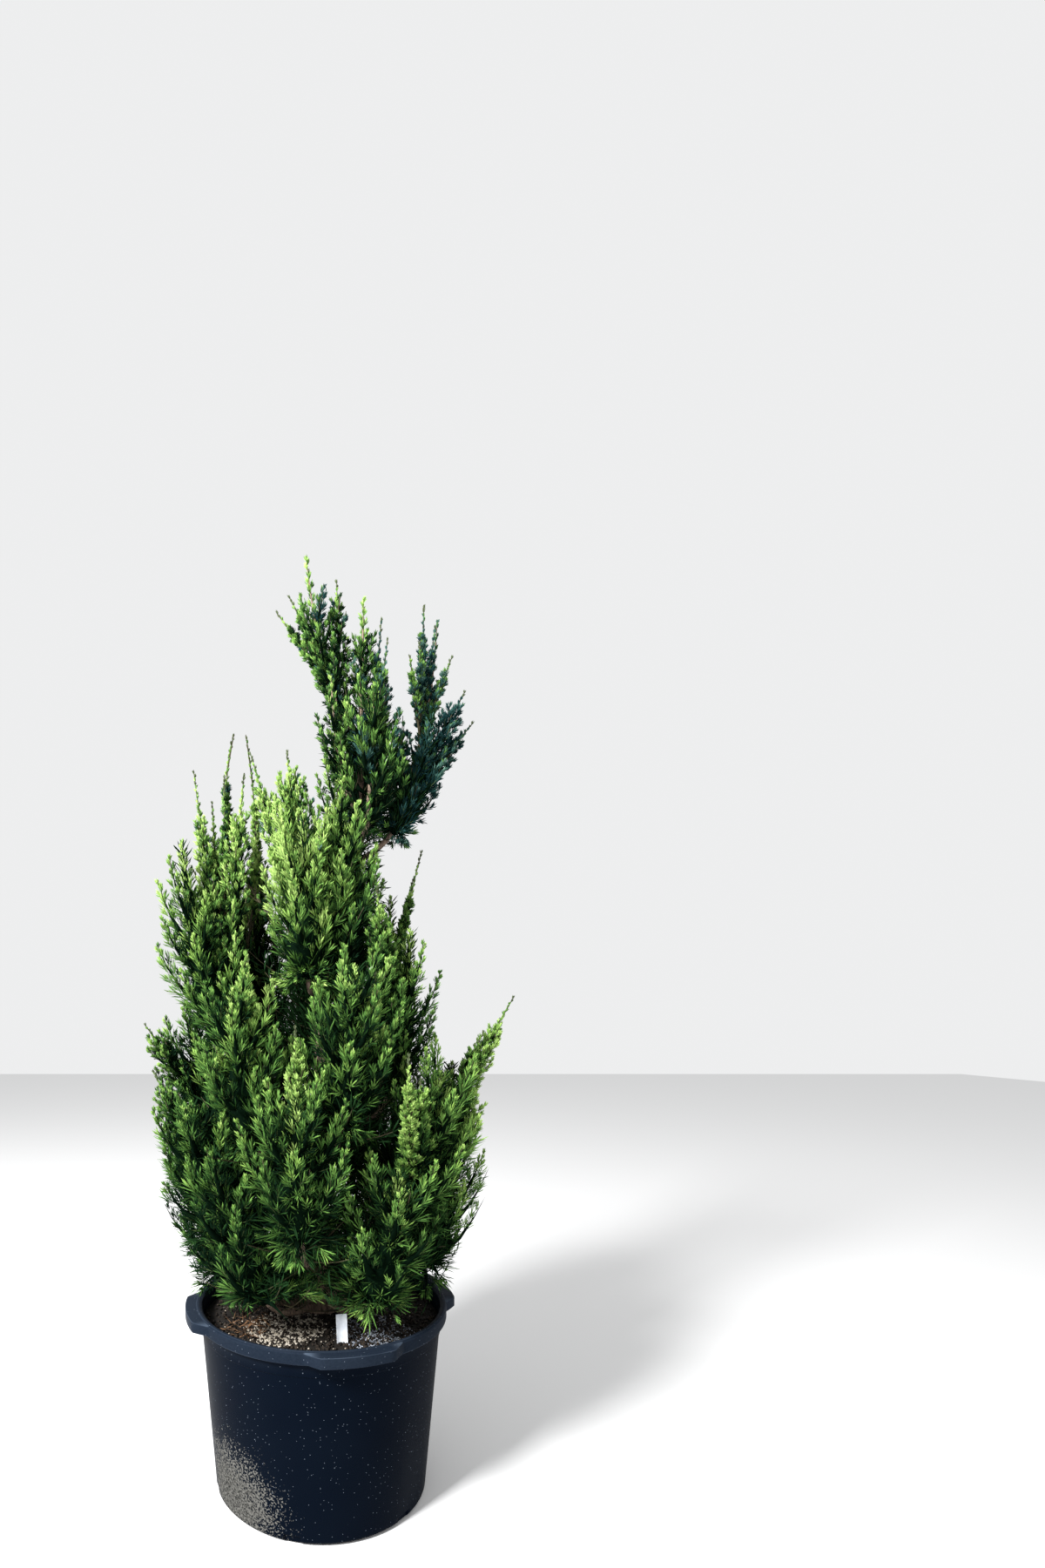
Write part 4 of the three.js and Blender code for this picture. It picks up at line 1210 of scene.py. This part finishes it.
def shade_twiglets(tufts, plumes, spires, u):
    """A shade for each twiglet, counted through the greens, the blues and the whips' grey: the
    whole steps of its light, which grows towards the tuft's end."""
    number = TWIGLET["count"]
    ids = np.arange(len(tufts["s"]))[:, None] * number + np.arange(number)
    light = tuft_light(tufts, plumes, spires)[:, None] + LIGHT["tuft_end"] * (u - 0.5)
    light = light + LIGHT_SWING["twiglet"] * swing(ids, "twiglet_light")
    green = np.clip(np.floor(light), 0, len(GREENS) - 1).astype(int)
    blue = len(GREENS) + np.clip(np.floor(light), 0, len(BLUES) - 1).astype(int)
    bluish = bluish_tufts(tufts, plumes, spires)[:, None]
    bound = BLUISH["green_from"] + BLUISH["green_swing"] * swing(tufts["plume"], "lit")[:, None]
    # A bluish tuft takes the blues, painted bluish shade, where its light is low, and a green one
    # step darker where it is lit.
    shade = np.where(bluish, np.where(light > bound, green - 1, blue), green)
    return np.where(bare_whips(tufts, plumes)[:, None], len(GREENS) + len(BLUES), shade)


def dress_foliage(spires, plumes):
    """Every shade of twiglets, then the stalks that they stand on."""
    tufts = thinned(grow_tufts(plumes))
    start, end, u = grow_twiglets(tufts)
    shade = shade_twiglets(tufts, plumes, spires, u)
    wide = TWIGLET["radius"] * tufts["coarse"] * (1 - FAN["finer"] * tufts["fan"])
    wide *= mix(TWIGLET["whip_radius"], 1, tufts["slim"])
    radius = wide[:, None] * np.ones_like(u)
    made = []
    for i, (name, colour) in enumerate({**GREENS, **BLUES, **WHIP}.items()):
        of = shade == i
        gloss = 0.0 if name in MATT else SPRAY_LOOK["gloss"]
        material = plain(f"green_{name}", colour, SPRAY_LOOK["roughness"], gloss)
        made += add_sprays(f"sprays_{name}", start[of], end[of], radius[of], material)
    root = tufts["from"]
    stalk_end = root + tufts["aim"] * (STALK["shown"] * tufts["size"])[:, None]
    made += add_sprays("stalks", root, stalk_end, STALK["radius"], listed_plain("green_stalk"))
    return made


def cored(spires):
    """Which spires have a core, dark as painted shade: the main ones, where they are wide enough.
    """
    wide = spires["half"] > LINING["least_half"]
    return spires["main"] & wide & ~np.isin(spires["name"], NO_CORE)


def dress_cores(spires, plumes):
    """The insides of the plumes and of the masses, dark as painted shade, which the tufts stand
    out of.
    """
    mains = cored(spires)
    plume_half, mass_half = CORE["plume"] * plumes["half"], CORE["mass"] * spires["half"][mains]
    points, faces = gathered([
        lumpy_bodies(plumes["line"], plume_half, CORE["plume_sharp"], *CORE["plume_grid"]),
        lumpy_bodies(spires["line"][mains], mass_half, CORE["sharp"], *CORE["mass_grid"])])
    add_piece("foliage_inside", points, faces, listed_plain("painted_shade_core"))


def grow_lining(line, half, number, scale):
    """Coarse sprays that cover a body round each line by the golden angle, outwards and up."""
    run, j = counted(np.full(len(line), number))
    line = line[run]
    t = (j + 0.5) / number
    ids = np.arange(len(run))
    along = heading_at(line, t)
    radial = around(along, np.radians(j * GOLDEN))
    sunk = LINING["root"] * half[run] * girth(t, CORE["sharp"])
    start = point_at(line, t) + radial * sunk[:, None]
    aim = LINING["along"] * along + LINING["out"] * radial + LINING["up"] * UP
    aim = unit(aim + LINING["stray"] * swing(ids, "lining_aim")[:, None])
    size = LINING["length"] * vary(ids, "lining_size", LINING["vary"])
    size = size * (LINING["low_size"] - LINING["shorter"] * t) * scale[run]
    end = start + aim * size[:, None]
    keep = end[:, Z] > TUFT["lowest"] + LINING["margin"] + raised_fringe(end)
    keep &= (past_rim(end) < 1) & ~before_trunk(end)
    return start[keep], end[keep]


def dress_lining(spires, inner):
    """The coarse sprays over the masses' cores, over the inner plumes and round the trunk, dark as
    painted shade.
    """
    mains = cored(spires)
    half = CORE["mass"] * spires["half"][mains]
    scale = np.minimum(1, half / (CORE["mass"] * LINING["full_half"]))
    inner_half = LINING["inner_share"] * inner["half"]
    upright = np.linspace(THICKET["low"], THICKET["high"], 3)[None, :, None] * UP
    linings = [
        grow_lining(spires["line"][mains], half, LINING["count"], scale),
        grow_lining(inner["line"], inner_half, LINING["inner_count"], np.ones(len(inner_half))),
        grow_lining(upright, np.array([THICKET["half"]]), THICKET["count"],
                    np.array([THICKET["scale"]])),
    ]
    start, end = (np.concatenate(part) for part in zip(*linings))
    add_sprays("sprays_inside", start, end, LINING["radius"], listed_plain("painted_shade_sprays"))


# Wood.
def bark_relief(angle, height):
    """Fibrous strips: a sum of waves round the trunk whose phase drifts with height."""
    drift = sum(share * np.sin(height / length + start) for share, length, start in STRIP_DRIFT)
    return sum(share * np.sin(count * angle + drifting * drift + height / length)
               for share, count, drifting, length in STRIPS)


def dress_trunk(bark):
    """Rings round the trunk's centre, of its radius and the bark's relief, closed at both ends."""
    rows, columns = TRUNK["rows"], TRUNK["columns"]
    height = np.linspace(TRUNK["foot"], TRUNK["top"], rows)[:, None]
    angle = np.linspace(0, 2 * np.pi, columns, endpoint=False)[None]
    radius = trunk_radius(height) * (1 + TRUNK["relief"] * bark_relief(angle, height))
    centre = trunk_centre(height)
    ring = np.stack([np.cos(angle), np.sin(angle), 0 * angle], axis=-1)
    points = (centre + ring * radius[..., None]).reshape(-1, 3)
    points = np.concatenate([points, centre[0], centre[-1]])
    trunk = add_piece("trunk_bark", points, capped_faces(rows, columns), bark)
    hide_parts("trunk")


def dress_boughs(masses, bark):
    """A tapering tube for every bough, from the trunk's centre to just under its mass."""
    picked = np.flatnonzero(masses["bough"])
    line = bough_lines(masses, picked, BOUGH["clear"])
    points, faces = tubes(line, BOUGH["radius"], BOUGH["tip_radius"], *WOOD["bough_grid"])
    boughs = add_piece("boughs_bark", points, faces, bark)
    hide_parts(*[masses["name"][i].replace("spiral", "bough") for i in picked])


def dress_stems(masses, spires, bark):
    """The stems of the masses that no bough bears, and the wood of every main spire."""
    stems = bough_lines(masses, np.flatnonzero(~masses["bough"]), 0)
    mains = spires["line"][spires["main"]]
    points, faces = gathered([
        tubes(stems, WOOD["stem"], WOOD["stem"], *WOOD["stem_grid"]),
        tubes(mains, WOOD["stem"], WOOD["shoot_tip"], *WOOD["shoot_grid"])])
    add_piece("stems_bark", points, faces, bark)


def dress_twigs(spires, plumes):
    """The wood of every long shoot, and of every plume that keeps clear of the rim."""
    shoots = spires["line"][~spires["main"]]
    tip = plumes["line"][:, 2]
    lowest = TUFT["lowest"] + WOOD["fringe_share"] * raised_fringe(tip)
    twigs = plumes["line"][(past_rim(tip) < 1) & (tip[:, Z] > lowest)]
    points, faces = gathered([
        tubes(shoots, WOOD["shoot"], WOOD["shoot_tip"], *WOOD["shoot_grid"]),
        tubes(twigs, WOOD["twig"], WOOD["twig_tip"], *WOOD["twig_grid"])])
    add_piece("twigs_bark", points, faces, listed_plain("twig_brown"))


# The container and what is in it.
def wall_radius(height):
    """Radius of the container's outer face."""
    return mix(POT["foot_radius"], POT["mouth_radius"], height / POT["height"])


def container_sections():
    """Half sections of the container from the underside's centre, up outside, over the lip, down
    inside to the floor's centre: plain, through a lug and through a drain notch. All have the same
    corners, which are filleted."""
    top = POT["height"]
    lip = POT["mouth_radius"] + POT["lip_reach"]
    lip_foot = top - POT["lip_depth"]
    lip_top = top - POT["lip_slope"]
    edge_in, edge_down = POT["lip_fall"]
    ledge = top - POT["ledge_drop"]
    stepped = POT["ledge_reach"]
    lug_low = top - LUG["drop"] - LUG["depth"]
    lug_high = top - LUG["drop"]
    notch, roof = DRAIN["height"], DRAIN["height"] + DRAIN["roof"]
    recess = POT["foot_radius"] - DRAIN["depth"]
    corners = [
        # plain, lug, notch
        ((0, 0), None, None),
        ((recess, 0), None, None),
        ((POT["foot_radius"] - POT["foot_round"], 0), None, (recess, notch)),
        ((wall_radius(POT["foot_round"]), POT["foot_round"]), None,
         (recess + DRAIN["roof"], notch)),
        ((wall_radius(notch), notch), None, (wall_radius(notch) - DRAIN["lap"], notch)),
        ((wall_radius(roof), roof), None, None),
        ((wall_radius(ledge), ledge), None, None),
        ((wall_radius(ledge) + stepped, ledge + stepped), None, None),
        ((wall_radius(lip_foot) + stepped, lip_foot), None, None),
        ((lip, lip_foot), None, None),
        ((lip, lug_low), None, None),
        ((lip, lug_low + LUG["nose"]), (LUG["reach"], lug_low), None),
        ((lip, lip_top), (LUG["reach"], lug_high), None),
        ((lip - edge_in, top - edge_down), (lip - edge_in, lug_high), None),
        ((lip - POT["lip_round"], top), None, None),
        ((POT["mouth_radius"] + POT["lip_round"], top), None, None),
        ((wall_radius(lip_top) - POT["wall"], lip_top), None, None),
        ((wall_radius(POT["floor"]) - POT["wall"], POT["floor"]), None, None),
        ((0, POT["floor"]), None, None),
    ]
    reach = np.array(FILLETS, dtype=float)
    sections = [[row[kind] or row[0] for row in corners] for kind in range(3)]
    return [rounded(np.array(rows, dtype=float), reach) for rows in sections]


def rounded(corners, reach):
    """A line of corners with each one cut back by its reach and bridged by a short curve."""
    steps = np.linspace(0, 1, POT["fillet_steps"])[None, :, None]
    middle = corners[1:-1]
    start = (middle + unit(corners[:-2] - middle) * reach[1:-1, None])[:, None]
    end = (middle + unit(corners[2:] - middle) * reach[1:-1, None])[:, None]
    middle = middle[:, None]
    curve = (1 - steps) ** 2 * start + 2 * steps * (1 - steps) * middle + steps ** 2 * end
    return np.concatenate([corners[:1], curve.reshape(-1, 2), corners[-1:]])


def share_of(azimuth, feature, half_angle):
    """1 within the feature's arcs, falling to 0 over its corner angle."""
    pitch = 360 / feature["count"]
    away = np.abs((azimuth - feature["azimuth"] + pitch / 2) % pitch - pitch / 2)
    return np.clip((half_angle - away) / feature["corner_angle"], 0, 1)


def container_columns(notch_angle):
    """Even azimuths, and one more on every corner of a lug or notch."""
    even = np.arange(POT["columns"]) * 360 / POT["columns"]
    corners = []
    for feature, half in ((LUG, LUG["half_angle"]), (DRAIN, notch_angle)):
        for i in range(feature["count"]):
            centre = feature["azimuth"] + 360 / feature["count"] * i
            for side in (-1, 1):
                corners += [centre + side * half, centre + side * (half - feature["corner_angle"])]
    return np.unique(np.round(np.concatenate([even, np.array(corners) % 360]), 3))


def dress_container():
    """The turned half section, mixed towards the lug's and the notch's by azimuth."""
    plain_rows, lug_rows, notch_rows = container_sections()
    notch_angle = np.degrees(DRAIN["width"] / 2 / POT["foot_radius"])
    azimuth = container_columns(notch_angle)
    lug = share_of(azimuth, LUG, LUG["half_angle"])[None, :, None]
    notch = share_of(azimuth, DRAIN, notch_angle)[None, :, None]
    rows = plain_rows[:, None] + (lug_rows - plain_rows)[:, None] * lug
    rows = rows + (notch_rows - plain_rows)[:, None] * notch
    points = polar(azimuth[None], rows[..., 0], rows[..., 1]).reshape(-1, 3)
    faces = grid_faces(len(rows), len(azimuth))
    pot = add_piece("container", points, faces, container_material())
    add_wear_and_highlight(pot, rows)
    close_seams(pot)
    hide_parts("pot")


def add_wear_and_highlight(pot, rows):
    """Marks the lip's and the lugs' edges, partly scuffed and partly painted highlight: where the
    section turns most sharply.
    """
    steps = unit(np.diff(rows, axis=0) + TINY)
    bend = np.zeros(rows.shape[:2])
    bend[1:-1] = 1 - (steps[:-1] * steps[1:]).sum(axis=-1)
    bend *= rows[..., 1] > POT["height"] - POT["lip_depth"] - WEAR_AND_HIGHLIGHT["below_lip"]
    wear_and_highlight = pot.data.attributes.new("wear_and_highlight", "FLOAT", "POINT")
    worn_and_lit = np.clip(WEAR_AND_HIGHLIGHT["strength"] * bend, 0, 1)
    wear_and_highlight.data.foreach_set("value", worn_and_lit.astype(np.float32).ravel())


def drifting_wave(along, beside, length, drift, drift_length):
    """sin(along / length + drift sin(beside / drift length))."""
    return np.sin(along / length + drift * np.sin(beside / drift_length))


def soil_height(x, y):
    """A low crown at the trunk that falls to the wall, roughened by crossing waves."""
    fall = wall_radius(SOIL["shoulder"]) - SOIL["shoulder_margin"]
    slope = smoothstep((np.hypot(x, y) - SOIL["crown_radius"]) / fall)
    rough = drifting_wave(x, y, *SOIL_WAVES[0]) * drifting_wave(y, x, *SOIL_WAVES[1])
    return mix(SOIL["crown"], SOIL["shoulder"], slope) + 0.5 * SOIL["relief"] * (rough - 1)


def dress_soil():
    """The mix: a closed turned body with a rough top."""
    edge, low = (wall_radius(height) - POT["wall"] - SOIL["gap"]
                 for height in (SOIL["shoulder"], POT["floor"]))
    share = np.linspace(0, 1, SOIL["rings"])
    azimuth = np.arange(SOIL["columns"]) * 360 / SOIL["columns"]
    flat = polar(azimuth[None], (edge * share)[:, None], 0)
    flat[..., Z] = soil_height(flat[..., X], flat[..., Y])
    foot = polar(azimuth[None], np.array([[low], [0]]), POT["floor"] + SOIL["clear"])
    points = np.concatenate([flat, foot])[::-1].reshape(-1, 3)
    faces = grid_faces(len(points) // len(azimuth), len(azimuth))
    soil = add_piece("mix", points, faces, mottled("mix_dark"))
    close_seams(soil)
    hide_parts("potting_mix")


def dress_bits():
    """Granules and bark chips: eight-sided grains strewn over the mix, turned at random."""
    room = wall_radius(SOIL["shoulder"]) - POT["wall"] - BIT["margin"]
    for nth, (name, (count, x, y, spread, size, stretch)) in enumerate(BITS.items()):
        ids = np.arange(count)
        fray = BIT["dense"] + BIT["fray"] * scatter(ids, "bit_fray", nth)
        reach = spread * np.sqrt(scatter(ids, "bit_reach", nth)) * fray
        place = polar(360 * scatter(ids, "bit_azimuth", nth), reach, 0) + (x, y, 0)
        inside = np.hypot(place[:, X], place[:, Y]) < room
        place, ids = place[inside], ids[inside]
        grain = size * (BIT["least"] + BIT["vary"] * scatter(ids, "bit_size", nth))
        place[:, Z] = soil_height(place[:, X], place[:, Y]) + BIT["lifted"] * grain
        facing = [swing(ids, "bit_x", nth), swing(ids, "bit_y", nth),
                  BIT["upright"] + swing(ids, "bit_z", nth)]
        side, other = across(unit(np.stack(facing, axis=1)))
        axes = np.stack([side, other, np.cross(side, other)], axis=1) * np.array(stretch)[:, None]
        turned_grains = np.einsum("ck,nkd->ncd", GRAIN_CORNERS, axes) * grain[:, None, None]
        points, faces = repeated(place[:, None] + turned_grains, GRAIN_FACES)
        add_piece(name, points, faces, mottled(name))


def dress_scraps():
    """Dead brown sprays that lie about on the mix at the front left."""
    ids = np.arange(SCRAPS["count"])
    reach = SCRAPS["spread"] * np.sqrt(scatter(ids, "scrap_reach"))
    start = polar(360 * scatter(ids, "scrap_azimuth"), reach, 0) + (*SCRAPS["centre"], 0)
    lifted = SCRAPS["lifted"] + SCRAPS["rise"] * scatter(ids, "scrap_rise") ** 2
    start[:, Z] = soil_height(start[:, X], start[:, Y]) + lifted
    aim = unit(np.stack([swing(ids, "scrap_x"), swing(ids, "scrap_y"),
                         SCRAPS["level"] * swing(ids, "scrap_z")], axis=1))
    size = SCRAPS["length"] * (SCRAPS["least"] + SCRAPS["vary"] * scatter(ids, "scrap_size"))
    end = start + aim * size[:, None]
    lowest = soil_height(end[:, X], end[:, Y]) + SCRAPS["end_lifted"]
    end[:, Z] = np.maximum(end[:, Z], lowest)
    points, faces = wedges(start, end, np.full(len(ids), SCRAPS["radius"]))
    add_piece("dead_scraps", points, faces, mottled("scrap_brown"))


def tag_points():
    """The tag's rings, flat across and up its own length, then bowed, leant back and spun."""
    up = np.linspace(0, TAG["height"], TAG["rings"])
    wide = TAG["width"] / 2 * np.minimum(1, up / TAG["point"])
    thick = np.full(len(up), TAG["thick"] / 2)
    thick[[0, -1]] = 0
    x = np.linspace(-1, 1, TAG["columns"])
    level = np.concatenate([x, x[::-1]])[None] * wide[:, None]
    sides = np.repeat([-1, 1], TAG["columns"])[None] * thick[:, None]
    bend = np.cos(level / TAG["width"] * np.pi) + (up[:, None] / TAG["height"]) ** 2
    depth = sides + TAG["bow"] * bend
    rise = np.broadcast_to(up[:, None], level.shape) - TAG["height"] / 2
    lean, turn = np.radians(TAG["lean"]), np.radians(TAG["turn"])
    back = rise * np.sin(lean) + depth * np.cos(lean)
    height = rise * np.cos(lean) - depth * np.sin(lean)
    spun = [level * np.cos(turn) - back * np.sin(turn), level * np.sin(turn) + back * np.cos(turn)]
    middle = SOIL["shoulder"] + TAG["stands"] - TAG["height"] / 2
    return np.stack([*spun, height], axis=-1) + polar(TAG["azimuth"], TAG["reach"], middle)


def dress_tag():
    """A thin blank strip with a pointed foot, bowed a little and leaning back."""
    faces = grid_faces(TAG["rings"], 2 * TAG["columns"])
    points = tag_points().reshape(-1, 3)
    tag = add_piece("tag", points, faces, mottled("tag_white"), smooth=False)
    close_seams(tag)
    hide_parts("plant_tag")


# Stage, light and camera.
def add_stage():
    """A pale floor, which isn't part of the object."""
    corners = [(x * FLOOR_HALF * MM, y * FLOOR_HALF * MM, 0)
               for x, y in ((-1, -1), (1, -1), (1, 1), (-1, 1))]
    mesh = bpy.data.meshes.new("floor")
    mesh.from_pydata(corners, [], [(0, 1, 2, 3)])
    mesh.materials.append(listed_plain("floor_pale"))
    floor = bpy.data.objects.new("floor", mesh)
    bpy.context.collection.objects.link(floor)


def add_world():
    """An even, nearly white surrounding light."""
    world = bpy.data.worlds.new("studio")
    world.use_nodes = True
    background = world.node_tree.nodes["Background"]
    background.inputs["Color"].default_value = WORLD["colour"]
    background.inputs["Strength"].default_value = WORLD["strength"]
    bpy.context.scene.world = world
    bpy.context.scene.view_settings.view_transform = "Standard"


def add_light():
    """One soft lamp at the upper left front."""
    lamp = bpy.data.lights.new("key", "AREA")
    lamp.size = KEY["size"]
    lamp.energy = KEY["power"]
    light = bpy.data.objects.new("key", lamp)
    light.location = KEY["place"]
    direction = Vector(KEY["target"]) - Vector(KEY["place"])
    light.rotation_euler = direction.to_track_quat("-Z", "Y").to_euler()
    bpy.context.collection.objects.link(light)


def add_camera():
    """The camera at the front, looking a little down, with its picture shifted as in the photo."""
    data = bpy.data.cameras.new("camera")
    data.lens = CAMERA["lens"]
    data.shift_x = CAMERA["shift_x"]
    data.shift_y = CAMERA["shift_y"]
    camera = bpy.data.objects.new("camera", data)
    camera.location = CAMERA["place"]
    camera.rotation_euler = (np.radians(90 - CAMERA["down"]), 0, 0)
    bpy.context.collection.objects.link(camera)
    bpy.context.scene.camera = camera


masses = plan()
spires = all_spires(masses)
plumes = joined([mass_plumes(spires), skirt_plumes(spires), shoot_plumes(spires),
                 leader_plumes(spires)])
inner = joined([bough_plumes(masses), heart_plumes()])
pieces = dress_foliage(spires, plumes)
dress_cores(spires, plumes)
dress_lining(spires, inner)
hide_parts(*masses["name"])
bark = bark_material()
dress_trunk(bark)
dress_boughs(masses, bark)
dress_stems(masses, spires, bark)
dress_twigs(spires, joined([plumes, inner]))
dress_container()
dress_soil()
dress_bits()
dress_scraps()
dress_tag()
add_stage()
add_world()
add_light()
add_camera()
